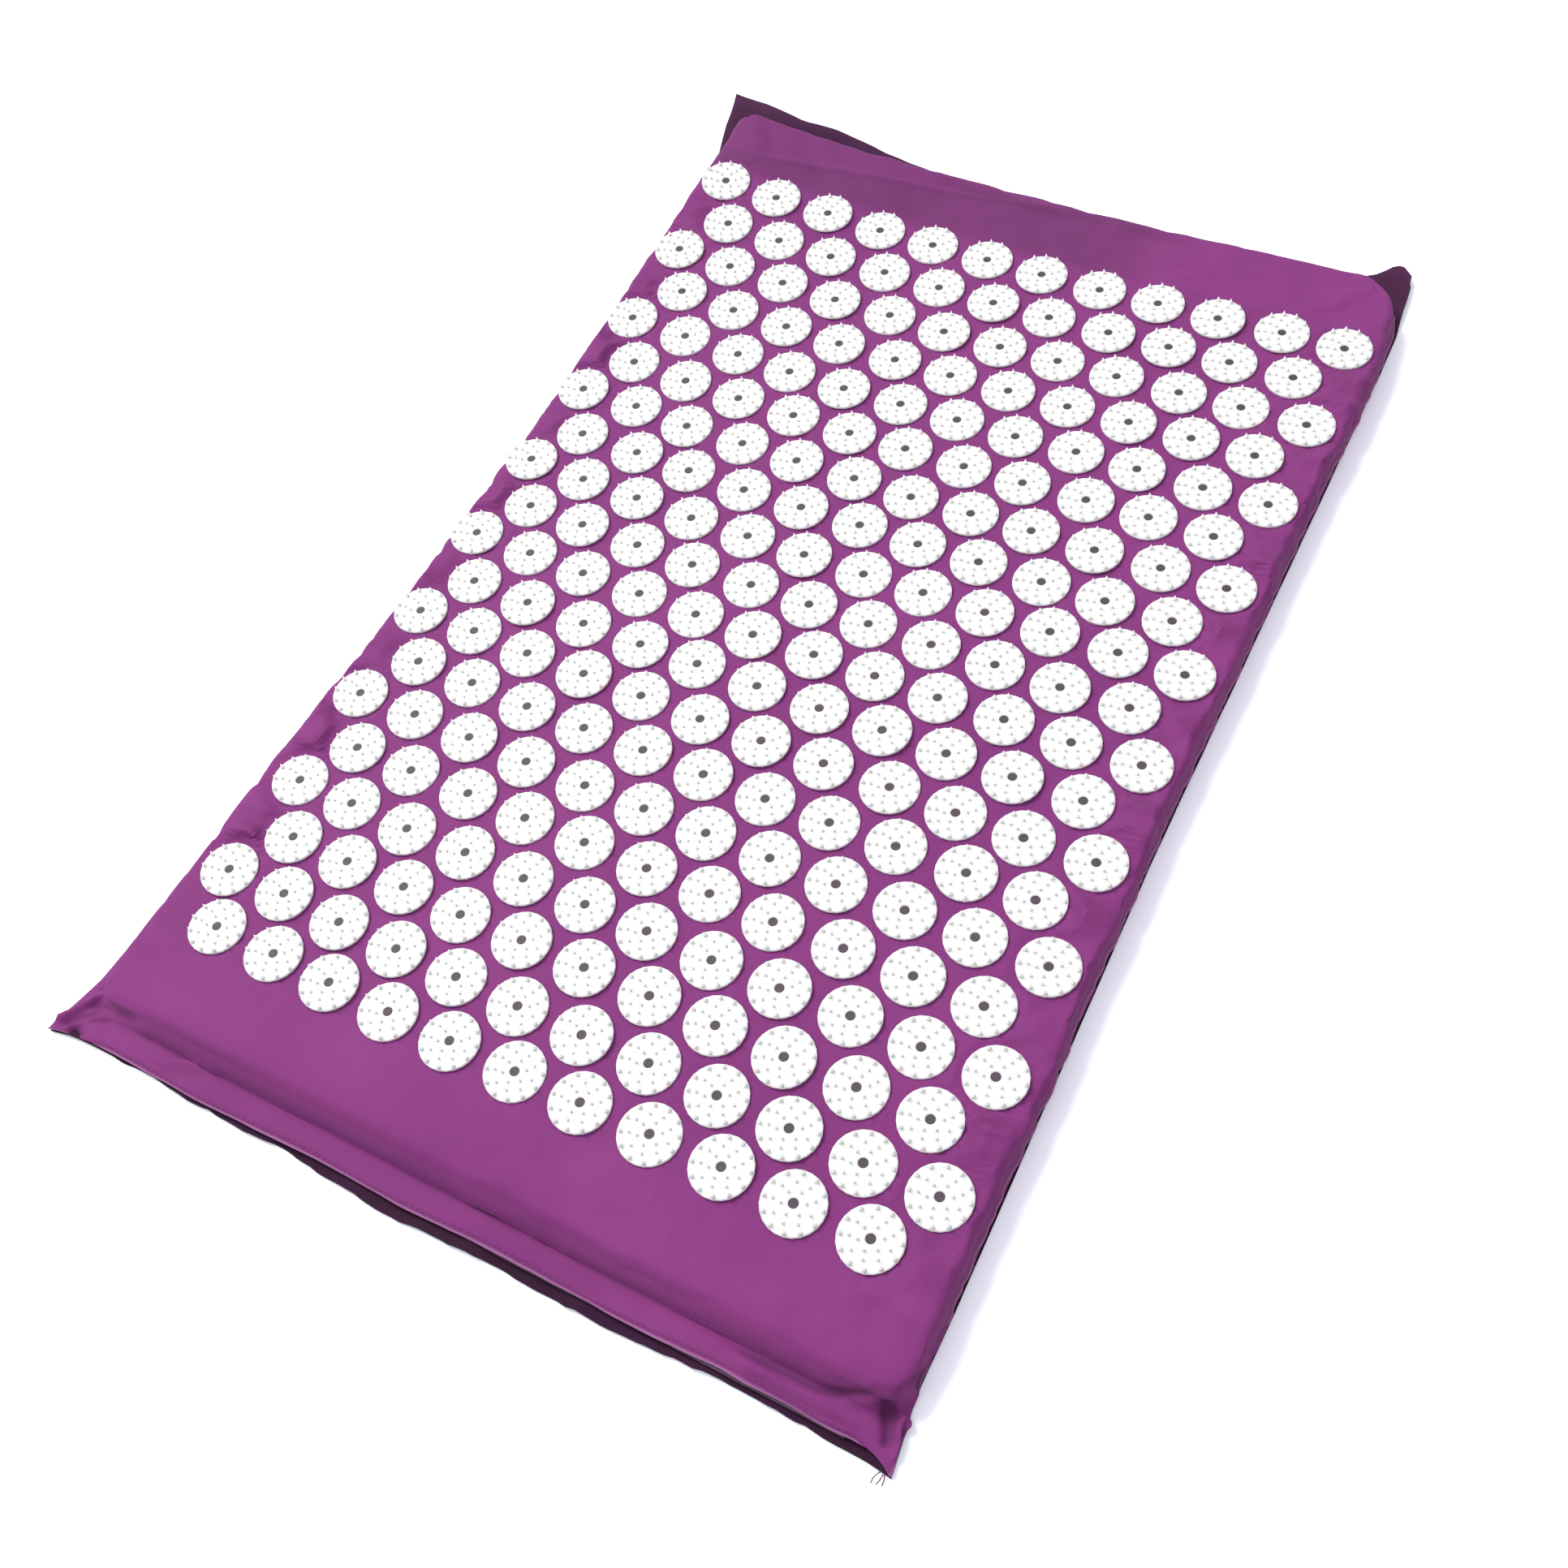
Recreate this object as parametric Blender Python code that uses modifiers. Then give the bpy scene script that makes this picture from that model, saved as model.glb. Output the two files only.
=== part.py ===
"""Acupressure mat: a foam pad in a loose cotton cover, with rows of spiked discs bonded on top.

Metres, +Z up, resting on z = 0. The long side runs along Y. The mouth of the cover, closed by hook
and loop tape, is at the -Y end, and the far left corner of the mat curls up a little.
"""

import math

import bmesh
import bpy
from mathutils import Matrix, Vector

# Field of discs
row_count = 20
long_row_discs = 12
disc_pitch = 0.033
row_pitch = 0.0269
disc_sides = 8
disc_corner_radius = 0.0147
disc_base_thick = 0.0012
disc_dimple = 0.0008
spike_height = 0.0034
spike_ring_radius = 0.0108

# Foam pad
foam_wide = 0.3955
foam_long = 0.620
foam_thick = 0.018
foam_edge_radius = 0.006
foam_near_corner = 0.008
foam_far_corner = 0.020
near_margin = 0.0485

# Cloth, and the gaps between neighbouring pieces
cloth_thick = 0.0006
piece_gap = 0.0003
bond_gap = 0.0004

# Seam of the cover, and the crease and the two lips at its mouth
seam_height = 0.0015
wall_foot_height = 0.0065
crease_reach = 0.0041
crease_height = 0.0050
lip_reach = 0.0178
lip_height = 0.0045
lip_skew = 0.0013
lip_wave = 0.0008
lower_lip_reach = 0.0196
lower_lip_skew = 0.0012
lower_lip_wave = 0.0006
mouth_margin = 0.0107
mouth_slit = 0.0005

# Loose corners of the cover: a long slack swell beside each, a pointed ear, and one tucked tip
swell_run = 0.260
near_left_swell_x = 0.0215
near_right_swell_x = 0.006
far_left_swell_y = 0.0225
ear_run = 0.045
near_left_ear_x = 0.006
near_right_ear_x = 0.008
far_left_ear_x = 0.024
near_ear_y = 0.0217
far_left_ear_y = 0.0045
far_right_ear_y = 0.028
far_right_tuck_x = 0.007

# Curl of the far left corner
curl_height = 0.018
curl_wide = 0.259
curl_long = 0.257

# Closure tapes and thread
tape_wide = 0.0127
tape_setback = 0.0008
tape_base_thick = 0.0005
tape_pile_thick = 0.0007
selvedge = 0.0015
thread_radius = 0.0002
seam_thread_radius = 0.00025
stitch_inset = 0.0009
seam_thread_inset = 0.003
tack_long = 0.008
tack_wide = 0.0016
tack_thick = 0.0005
tack_setback = 0.0024

# Places of grid lines, as shares of the pad's half width and of its length
pad_x_shares = (-0.8, -0.6, -0.4, -0.2, 0.0, 0.2, 0.5, 0.8)
pad_y_shares = (0.05, 0.2, 0.35, 0.5, 0.6, 0.67, 0.74, 0.81, 0.88, 0.94)
edge_turn_shares = (0.0, 1 / 3, 2 / 3, 1.0)
ear_shares = (1.0, 0.42)
square_shares = (1.0, 0.55)
ear_foot_share = 0.55
loop_stitch_share = 0.1
side_ear_power = 1.3
end_ear_power = 0.7
curl_power_along = 1.3
curl_power_across = 2.0
lip_rows_shares = (0.0, 0.12, 0.55, 1.0)
lip_columns = 18
lip_waves = 3.5

# Derived places
field_half = (row_count - 1) * row_pitch / 2
foam_near = -(field_half + near_margin)
foam_far = foam_near + foam_long
skin = cloth_thick + piece_gap
cover_half = foam_wide / 2 + skin
cover_near = foam_near - skin
cover_far = foam_far + skin
foam_low = skin
foam_high = foam_low + foam_thick
cover_high = foam_high + skin
edge_centre_height = foam_high - foam_edge_radius
disc_low = cover_high + bond_gap
hinge_y = cover_near - crease_reach - piece_gap / 2
hinge_z = crease_height
mouth_half = cover_half - mouth_margin
near_tip = cover_near - near_ear_y
far_tip = cover_far + max(far_left_swell_y + far_left_ear_y, far_right_ear_y)
left_tip = -(cover_half + max(near_left_swell_x + near_left_ear_x, far_left_ear_x))
right_tip = cover_half + near_right_swell_x + near_right_ear_x


def clear_scene():
    """Take away whatever the file holds."""
    for old in list(bpy.data.objects):
        bpy.data.objects.remove(old, do_unlink=True)


def new_collection(name):
    """A collection linked to the scene."""
    collection = bpy.data.collections.new(name)
    bpy.context.scene.collection.children.link(collection)
    return collection


def new_material(name, colour, roughness, sheen=0.0):
    """A plain Principled material."""
    material = bpy.data.materials.new(name)
    material.use_nodes = True
    shader = material.node_tree.nodes["Principled BSDF"]
    shader.inputs["Base Color"].default_value = (*colour, 1.0)
    shader.inputs["Roughness"].default_value = roughness
    shader.inputs["Metallic"].default_value = 0.0
    shader.inputs["Sheen Weight"].default_value = sheen
    return material


def new_empty(name, place, parent=None):
    """An empty that carries other pieces."""
    empty = bpy.data.objects.new(name, None)
    empty.empty_display_size = disc_pitch
    empty.location = place
    empty.parent = parent
    parts.objects.link(empty)
    return empty


def add_piece(name, mesh, material, parent, place=(0.0, 0.0, 0.0)):
    """Link a mesh as a named piece under its empty."""
    piece = bpy.data.objects.new(name, mesh)
    mesh.materials.append(material)
    piece.location = place
    piece.parent = parent
    parts.objects.link(piece)
    return piece


def mesh_from(bm, name):
    """Turn a bmesh into a mesh."""
    mesh = bpy.data.meshes.new(name)
    bm.to_mesh(mesh)
    bm.free()
    return mesh


def blend(low, high, share):
    """A value a share of the way from low to high."""
    return low + (high - low) * share


def ease(share):
    """A smooth step from 0 to 1."""
    share = min(max(share, 0.0), 1.0)
    return share * share * (3 - 2 * share)


def curl(x, y):
    """Lift of the far left corner: a product of powers of two shares, flat outside the curled zone."""
    along = min(max((y - (cover_far - curl_long)) / curl_long, 0.0), 1.0)
    across = min(max((curl_wide - cover_half - x) / curl_wide, 0.0), 1.0)
    return curl_height * along ** curl_power_along * across ** curl_power_across


def lift_with_mat(bm, offset=Vector((0.0, 0.0, 0.0))):
    """Raise every vertex by the curl of the mat under it."""
    for vert in bm.verts:
        vert.co.z += curl(vert.co.x + offset.x, vert.co.y + offset.y)


def lip_edge(x):
    """Y of the upper lip's free edge: a slightly skewed line with a long shallow wave."""
    wave = lip_wave * math.sin(math.pi * lip_waves * x / mouth_half)
    return cover_near - lip_reach + lip_skew * x / mouth_half + wave


def lower_lip_edge(x):
    """Y of the lower lip's free edge, skewed the other way and with a shorter wave."""
    wave = lower_lip_wave * math.sin(math.pi * 2 * lip_waves * x / mouth_half)
    return cover_near - lower_lip_reach - lower_lip_skew * x / mouth_half + wave


def ring_grid(half, near, far, near_round, far_round, insets, stations_x, stations_y, shape):
    """A grid of faces whose outer rows and columns run as rounded rings round a rectangle.

    insets gives each ring's distance inside the outline, outermost first. shape gives the place of
    a vertex from its plan place, its ring, and its turn from the side (0) to the end (90 degrees).
    """
    rings = len(insets)
    columns = 2 * rings + len(stations_x)
    rows = 2 * rings + len(stations_y)
    bm = bmesh.new()
    bmesh.ops.create_grid(bm, x_segments=columns - 1, y_segments=rows - 1, size=1.0)
    widest = max(abs(x) for x in stations_x)
    for vert in bm.verts:
        i = round((vert.co.x + 1) / 2 * (columns - 1))
        j = round((vert.co.y + 1) / 2 * (rows - 1))
        across = min(i, columns - 1 - i)
        along = min(j, rows - 1 - j)
        side = 1 if 2 * i > columns - 1 else -1
        way = 1 if 2 * j > rows - 1 else -1
        end = far if way > 0 else near
        radius = far_round if way > 0 else near_round
        ring = min(across, along, rings)
        squeeze = min(1.0, (half - radius) / widest)
        if ring == rings:
            turn = 0.0
            x = stations_x[i - rings]
            y = stations_y[j - rings]
        elif along >= rings:
            turn = 0.0
            x = side * (half - insets[ring])
            y = stations_y[j - rings]
        elif across >= rings:
            turn = 90.0
            x = stations_x[i - rings] * squeeze
            y = end - way * insets[ring]
        else:
            if across <= along:
                turn = 45.0 * (rings - along) / (rings - across)
            else:
                turn = 90.0 - 45.0 * (rings - across) / (rings - along)
            arm = radius - insets[ring]
            x = side * (half - radius + arm * math.cos(math.radians(turn)))
            y = end - way * (radius - arm * math.sin(math.radians(turn)))
        vert.co = shape(x, y, ring, turn, side, way)
    return bm


def corner_sizes(side, way):
    """Swell and ear across, swell and ear along, and what the ear gains past the pad's end."""
    if way > 0 and side < 0:
        return 0.0, far_left_ear_x, far_left_swell_y, far_left_ear_y, 0.0
    if way > 0:
        return 0.0, 0.0, 0.0, far_right_ear_y, -far_right_tuck_x
    if side < 0:
        return near_left_swell_x, 0.0, 0.0, near_ear_y, near_left_ear_x
    return near_right_swell_x, 0.0, 0.0, near_ear_y, near_right_ear_x


def slack(swell, ear, distance, power):
    """Reach of the loose cloth at a distance from the corner: the long swell and the short ear."""
    long_part = swell * max(1 - distance / swell_run, 0.0)
    return long_part + ear * max(1 - distance / ear_run, 0.0) ** power


def side_slack(side, y):
    """Reach of the loose cloth beyond the long side at y."""
    far_swell, far_ear, _, _, _ = corner_sizes(side, 1)
    near_swell, near_ear, _, _, _ = corner_sizes(side, -1)
    far_part = slack(far_swell, far_ear, max(cover_far - y, 0.0), side_ear_power)
    near_part = slack(near_swell, near_ear, max(y - cover_near, 0.0), side_ear_power)
    return far_part + near_part


def far_slack(x):
    """Reach of the loose cloth beyond the far end at x."""
    reach = 0.0
    for side in (-1, 1):
        _, _, swell, ear, _ = corner_sizes(side, 1)
        reach += slack(swell, ear, max(cover_half - side * x, 0.0), end_ear_power)
    return reach


def spread_edge(x, y, turn, side, way, square, ear, near_line):
    """Move a vertex of the outline from the pad's rounded corner out to the bag's pointed one.

    Along a side the cloth reaches out more towards the corner, and at the near end the whole edge
    goes out to near_line. Returns the place and how far into the ear it lies.
    """
    end = cover_far if way > 0 else cover_near
    radius = (foam_far_corner if way > 0 else foam_near_corner) + skin
    swell_x, ear_x, _, ear_y, gain_x = corner_sizes(side, way)
    centre_x = side * (cover_half - radius)
    centre_y = end - way * radius
    if 0.0 < turn < 90.0:
        cosine = math.cos(math.radians(turn))
        sine = math.sin(math.radians(turn))
        reach = radius / max(cosine, sine)
        x = blend(x, centre_x + side * reach * cosine, square)
        y = blend(y, centre_y + way * reach * sine, square)
    from_tip_y = max(way * (end - y), 0.0)
    from_tip_x = max(cover_half - side * x, 0.0)
    beyond_x = min(max(side * (x - centre_x), 0.0) / radius, 1.0)
    beyond_y = min(max(way * (y - centre_y), 0.0) / radius, 1.0)
    if way > 0:
        end_push = far_slack(x)
    else:
        end_push = blend(cover_near - near_line(x), ear_y, beyond_x ** 3)
    if turn <= 45.0:
        into_ear = max(1 - from_tip_y / ear_run, 0.0)
        push_x = side_slack(side, y)
        push_y = beyond_y * end_push
    else:
        into_ear = max(1 - from_tip_x / ear_run, 0.0)
        push_x = (swell_x + ear_x) * beyond_x
        push_y = end_push
    past_end = beyond_y ** 2 if way > 0 else min(push_y * ear / ear_y, 1.0)
    push_x += gain_x * beyond_x * past_end
    return x + side * push_x * ear, y + way * push_y * ear, into_ear


def top_panel_shape(x, y, ring, turn, side, way):
    """Cover top: flat on the pad, rolled over its edge, down the wall and out into the ears."""
    roll = foam_edge_radius + skin
    level = cover_high
    if ring < 2:
        to_end = ease(turn / 90.0)
        x, y, into_ear = spread_edge(x, y, turn, side, way, square_shares[ring], ear_shares[ring], lip_edge)
        if ring == 0:
            level = blend(seam_height, lip_height, to_end) if way < 0 else seam_height
        else:
            foot = blend(wall_foot_height, wall_foot_height * ear_foot_share, into_ear)
            level = blend(foot, (crease_height + lip_height) / 2, to_end) if way < 0 else foot
    elif ring == 2:
        to_end = ease(turn / 90.0) if way < 0 else 0.0
        y -= crease_reach * to_end
        level = blend(edge_centre_height, crease_height, to_end)
    elif ring < 2 + len(edge_turn_shares):
        angle = edge_turn_shares[ring - 2] * math.pi / 2
        level = edge_centre_height + roll * math.sin(angle)
    return x, y, level


def bottom_panel_shape(x, y, ring, turn, side, way):
    """Cover bottom: flat, with the same ears, and a lower lip that shows past the upper one."""
    if ring == 0:
        x, y, _ = spread_edge(x, y, turn, side, way, 1.0, 1.0, lower_lip_edge)
    return x, y, cloth_thick


def foam_shape(direction):
    """Foam face: a flat middle with rounded edges, facing up (1) or down (-1)."""
    middle = (foam_low + foam_high) / 2

    def shape(x, y, ring, turn, side, way):
        angle = edge_turn_shares[min(ring, len(edge_turn_shares) - 1)] * math.pi / 2
        level = foam_thick / 2 - foam_edge_radius * (1 - math.sin(angle))
        return x, y, middle + direction * level
    return shape


def edge_insets(radius):
    """Insets of the rings round a rounded edge."""
    return [radius * (1 - math.cos(share * math.pi / 2)) for share in edge_turn_shares]


def pad_stations():
    """Grid lines that the pad and its cover share."""
    stations_x = [share * foam_wide / 2 for share in pad_x_shares]
    stations_y = [foam_near + share * foam_long for share in pad_y_shares]
    return stations_x, stations_y


def add_cloth(piece):
    """Give an open sheet its cloth thickness, inwards from the outer face."""
    solid = piece.modifiers.new("cloth", "SOLIDIFY")
    solid.thickness = cloth_thick
    solid.offset = -1.0


def make_foam_pad():
    """Foam pad: two rounded faces joined by a straight wall."""
    stations_x, stations_y = pad_stations()
    faces = []
    for direction in (1, -1):
        bm = ring_grid(
            foam_wide / 2, foam_near, foam_far, foam_near_corner, foam_far_corner,
            edge_insets(foam_edge_radius), stations_x, stations_y, foam_shape(direction))
        faces.append(mesh_from(bm, "foam_face"))
    bm = bmesh.new()
    for mesh in faces:
        bm.from_mesh(mesh)
        bpy.data.meshes.remove(mesh)
    rim = [edge for edge in bm.edges if edge.is_boundary]
    bmesh.ops.bridge_loops(bm, edges=rim)
    lift_with_mat(bm)
    bmesh.ops.recalc_face_normals(bm, faces=bm.faces)
    add_piece("foam_pad", mesh_from(bm, "foam_pad"), foam_material, mat_origin)


def make_top_panel():
    """Cover top panel, open where the upper lip takes over at the mouth."""
    stations_x, stations_y = pad_stations()
    stations_x = [-mouth_half] + stations_x + [mouth_half]
    insets = [0.0, 0.0] + edge_insets(foam_edge_radius + skin)
    bm = ring_grid(
        cover_half, cover_near, cover_far, foam_near_corner + skin, foam_far_corner + skin,
        insets, stations_x, stations_y, top_panel_shape)
    crease_line = cover_near - crease_reach
    lip_faces = []
    for face in bm.faces:
        middle = face.calc_center_median()
        if abs(middle.x) < mouth_half and middle.y < crease_line:
            lip_faces.append(face)
    bmesh.ops.delete(bm, geom=lip_faces, context="FACES")
    lift_with_mat(bm)
    panel = add_piece("cover_top_panel", mesh_from(bm, "cover_top_panel"), cloth_material, mat_origin)
    add_cloth(panel)


def make_bottom_panel():
    """Cover bottom panel, flat under the pad."""
    stations_x, stations_y = pad_stations()
    stations_x = [(a + b) / 2 for a, b in zip(stations_x, stations_x[1:])] + stations_x
    insets = [0.0, foam_near_corner]
    bm = ring_grid(
        cover_half, cover_near, cover_far, foam_near_corner + skin, foam_far_corner + skin,
        insets, sorted(stations_x), stations_y, bottom_panel_shape)
    lift_with_mat(bm)
    panel = add_piece(
        "cover_bottom_panel", mesh_from(bm, "cover_bottom_panel"), lining_material, mat_origin)
    add_cloth(panel)


def make_upper_lip():
    """Upper lip: the hemmed strip beyond the crease that lifts to open the mouth."""
    half = mouth_half - mouth_slit
    rows = len(lip_rows_shares)
    root = hinge_y - piece_gap / 2
    bm = bmesh.new()
    bmesh.ops.create_grid(bm, x_segments=lip_columns, y_segments=rows - 1, size=1.0)
    for vert in bm.verts:
        row = rows - 1 - round((vert.co.y + 1) / 2 * (rows - 1))
        x = vert.co.x * half
        y = blend(root, lip_edge(x), lip_rows_shares[row])
        level = crease_height if row == 0 else lip_height
        vert.co = (x, y - hinge_y, level - hinge_z)
    lip = add_piece("upper_lip", mesh_from(bm, "upper_lip"), cloth_material, lip_hinge)
    add_cloth(lip)


def make_tape(name, material, low, direction, parent, place):
    """Closure tape: a woven base with a raised pile of hooks or loops, inside a plain selvedge.

    direction is 1 with the pile on top and -1 with the pile below.
    """
    half = mouth_half - mouth_slit - tape_setback
    total = tape_base_thick + tape_pile_thick
    bm = bmesh.new()
    bmesh.ops.create_cube(bm, size=1.0)
    bmesh.ops.scale(bm, verts=bm.verts, vec=(2 * half, tape_wide, tape_base_thick))
    bm.normal_update()
    top = [face for face in bm.faces if face.normal.z > 0.5]
    bmesh.ops.inset_region(bm, faces=top, thickness=selvedge)
    raised = bmesh.ops.extrude_discrete_faces(bm, faces=top)["faces"]
    pile_verts = [vert for face in raised for vert in face.verts]
    bmesh.ops.translate(bm, verts=pile_verts, vec=(0.0, 0.0, tape_pile_thick))
    level = low + (tape_base_thick / 2 if direction > 0 else total - tape_base_thick / 2)
    middle = hinge_y - tape_setback - tape_wide / 2
    bmesh.ops.scale(bm, verts=bm.verts, vec=(1.0, 1.0, direction))
    bmesh.ops.translate(bm, verts=bm.verts, vec=Vector((0.0, middle, level)) - Vector(place))
    bmesh.ops.recalc_face_normals(bm, faces=bm.faces)
    add_piece(name, mesh_from(bm, name), material, parent)


def make_thread(name, points, radius, closed, parent):
    """A run of thread: a round wire through points, closed on itself or with capped ends."""
    curve = bpy.data.curves.new(name, "CURVE")
    curve.dimensions = "3D"
    curve.bevel_depth = radius
    curve.bevel_resolution = 0
    curve.use_fill_caps = not closed
    spline = curve.splines.new("POLY")
    spline.points.add(len(points) - 1)
    for point, place in zip(spline.points, points):
        point.co = (*place, 1.0)
    spline.use_cyclic_u = closed
    add_piece(name, curve, thread_material, parent)


def make_closure():
    """Hook tape on the lower lip, loop tape under the upper lip, and their box stitching."""
    total = tape_base_thick + tape_pile_thick
    hook_low = cloth_thick + piece_gap
    loop_low = hook_low + total + piece_gap
    hinge = (0.0, hinge_y, hinge_z)
    make_tape("hook_tape", tape_material, hook_low, 1, mat_origin, (0.0, 0.0, 0.0))
    make_tape("loop_tape", tape_material, loop_low, -1, lip_hinge, hinge)
    half = mouth_half - mouth_slit - tape_setback - stitch_inset
    inner = hinge_y - tape_setback - stitch_inset
    outer = hinge_y - tape_setback - tape_wide + stitch_inset
    corners = [(-half, inner), (half, inner), (half, outer), (-half, outer)]
    hook_level = hook_low + tape_base_thick + piece_gap + thread_radius
    hook_points = [(x, y, hook_level) for x, y in corners]
    make_thread("hook_tape_stitching", hook_points, thread_radius, True, mat_origin)
    loop_level = lip_height + piece_gap + thread_radius - hinge_z
    lift = inner - tape_wide * loop_stitch_share
    loop_points = [(x, (lift if y == inner else y) - hinge_y, loop_level) for x, y in corners]
    make_thread("loop_tape_stitching", loop_points, thread_radius, True, lip_hinge)


def make_seam_threads():
    """Seam threads inside the edge of the cover, along both sides and the far end between ears."""
    level = cloth_thick + piece_gap + seam_thread_radius
    stations_x, stations_y = pad_stations()
    start = cover_near + ear_run
    stop = cover_far - ear_run
    along = [start] + [y for y in stations_y if start < y < stop] + [stop]
    for name, side in (("left_seam_thread", -1), ("right_seam_thread", 1)):
        points = []
        for y in along:
            x = side * (cover_half - seam_thread_inset + side_slack(side, y))
            points.append((x, y, level + curl(x, y)))
        make_thread(name, points, seam_thread_radius, False, mat_origin)
    reach = cover_half - ear_run
    across = [-reach] + [x for x in stations_x if abs(x) < reach] + [reach]
    points = []
    for x in across:
        y = cover_far - seam_thread_inset + far_slack(x)
        points.append((x, y, level + curl(x, y)))
    make_thread("far_seam_thread", points, seam_thread_radius, False, mat_origin)


def make_mouth_tacks():
    """Two short close-sewn tacks that end the mouth, on the sewn-shut ends of the lip."""
    for name, side in (("left_mouth_tack", -1), ("right_mouth_tack", 1)):
        bm = bmesh.new()
        bmesh.ops.create_cube(bm, size=1.0)
        bmesh.ops.scale(bm, verts=bm.verts, vec=(tack_wide, tack_long, tack_thick))
        mesh = mesh_from(bm, name)
        x = side * (mouth_half + tack_setback)
        y = cover_near - crease_reach - (lip_reach - crease_reach) / 2
        z = crease_height + piece_gap + tack_thick / 2
        add_piece(name, mesh, thread_material, mat_origin, (x, y, z))


def make_disc_row(number):
    """One row of discs, joined by the thin bar of glue and plastic between neighbours.

    A disc is a flat prism whose top is split into wedges round a sunk centre, and each wedge is
    raised to a spike.
    """
    count = long_row_discs if number % 2 else long_row_discs - 1
    row_y = field_half - (number - 1) * row_pitch
    bm = bmesh.new()
    half_turn = Matrix.Rotation(math.pi / disc_sides, 4, "Z")
    centres = [(k - (count - 1) / 2) * disc_pitch for k in range(count)]
    for centre in centres:
        place = Matrix.Translation((centre, 0.0, disc_base_thick / 2))
        bmesh.ops.create_cone(
            bm, cap_ends=True, segments=disc_sides, radius1=disc_corner_radius,
            radius2=disc_corner_radius, depth=disc_base_thick, matrix=place @ half_turn)
    bm.normal_update()
    tops = [face for face in bm.faces if face.normal.z > 0.5]
    wedges = bmesh.ops.poke(bm, faces=tops, offset=-disc_dimple)["faces"]
    tips = bmesh.ops.poke(bm, faces=wedges, offset=spike_height)["verts"]
    for tip in tips:
        centre = min(centres, key=lambda place: abs(place - tip.co.x))
        outward = Vector((tip.co.x - centre, tip.co.y, 0.0)).normalized() * spike_ring_radius
        tip.co = (centre + outward.x, outward.y, disc_base_thick + spike_height)
    bm.normal_update()
    joints = []
    for left, right in zip(centres, centres[1:]):
        pair = []
        for face in bm.faces:
            middle = face.calc_center_median()
            facing_right = face.normal.x > 0.99 and abs(middle.x - left) < disc_pitch / 2
            facing_left = face.normal.x < -0.99 and abs(middle.x - right) < disc_pitch / 2
            if facing_right or facing_left:
                pair.append(face)
        joints.append(pair)
    for pair in joints:
        edges = [edge for face in pair for edge in face.edges]
        bmesh.ops.delete(bm, geom=pair, context="FACES_ONLY")
        bmesh.ops.bridge_loops(bm, edges=edges)
    lift_with_mat(bm, Vector((0.0, row_y, 0.0)))
    bmesh.ops.recalc_face_normals(bm, faces=bm.faces)
    name = f"disc_row_{number:02d}"
    add_piece(name, mesh_from(bm, name), disc_material, mat_origin, (0.0, row_y, disc_low))


clear_scene()
parts = new_collection("acupressure_mat")
cloth_material = new_material("purple_cotton", (0.305, 0.061, 0.283), 0.75, 0.3)
lining_material = new_material("purple_cotton_underside", (0.10, 0.035, 0.105), 0.85, 0.2)
foam_material = new_material("foam", (0.78, 0.74, 0.62), 0.95)
disc_material = new_material("white_disc_plastic", (0.86, 0.86, 0.86), 0.35)
tape_material = new_material("hook_and_loop_tape", (0.07, 0.025, 0.075), 0.9)
thread_material = new_material("thread", (0.25, 0.05, 0.23), 0.7)

mat_origin = new_empty(
    "mat_origin", (-(left_tip + right_tip) / 2, -(near_tip + far_tip) / 2, 0.0))
lip_hinge = new_empty("lip_hinge", (0.0, hinge_y, hinge_z), mat_origin)

make_foam_pad()
make_bottom_panel()
make_top_panel()
make_upper_lip()
make_closure()
make_seam_threads()
make_mouth_tacks()
for row_number in range(1, row_count + 1):
    make_disc_row(row_number)
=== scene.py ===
"""Looks of an acupressure mat: a foam pad in a loose purple cotton cover, with 230 white spiked discs on top.

Metres, +Z up, the mat lying on z = 0. Its long side runs along Y, and the mouth of the cover is at -Y.
"""

import math

import bpy
import numpy as np
from mathutils import Matrix, Vector
from numpy.polynomial.polynomial import polyval2d


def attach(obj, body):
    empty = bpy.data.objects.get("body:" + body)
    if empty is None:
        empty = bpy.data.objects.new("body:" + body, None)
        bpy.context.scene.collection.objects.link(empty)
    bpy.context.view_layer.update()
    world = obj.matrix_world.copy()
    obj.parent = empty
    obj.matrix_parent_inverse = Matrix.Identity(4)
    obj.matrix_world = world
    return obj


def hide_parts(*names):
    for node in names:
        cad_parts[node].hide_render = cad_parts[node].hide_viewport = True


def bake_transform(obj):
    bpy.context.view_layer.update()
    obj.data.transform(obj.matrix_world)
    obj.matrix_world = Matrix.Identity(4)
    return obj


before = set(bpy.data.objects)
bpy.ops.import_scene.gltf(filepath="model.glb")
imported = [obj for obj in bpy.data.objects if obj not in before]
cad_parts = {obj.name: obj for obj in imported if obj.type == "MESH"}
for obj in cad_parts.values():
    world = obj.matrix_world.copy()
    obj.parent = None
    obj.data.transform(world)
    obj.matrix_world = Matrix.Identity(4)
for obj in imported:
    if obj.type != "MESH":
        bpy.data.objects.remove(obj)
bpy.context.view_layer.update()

# ---- Foam pad ----
# One block of open-cell foam, cut from a sheet, with its edges rounded by the pull of the cover.
# It lies loose inside the cover and gives the mat its thickness.

pad_place = np.array([0.00675, -0.0091, 0.0])
pad_half = 0.19775
pad_near = -0.30405
pad_far = 0.31595
pad_thick = 0.018
skin = 0.0009
foam_round = 0.0036
curl_height = 0.018
curl_wide = 0.259
curl_long = 0.257
left_bulge = -0.0085
right_bulge = 0.0052
bulge_run = 0.260
far_right_tuck = 0.0022
end_fall = 0.0017
end_fall_run = 0.014
corner_fall = 0.0022
far_pull = 0.0015
cover_half = pad_half + skin
cover_near = pad_near - skin
cover_far = pad_far + skin
cover_high = pad_thick + 2 * skin


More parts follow.
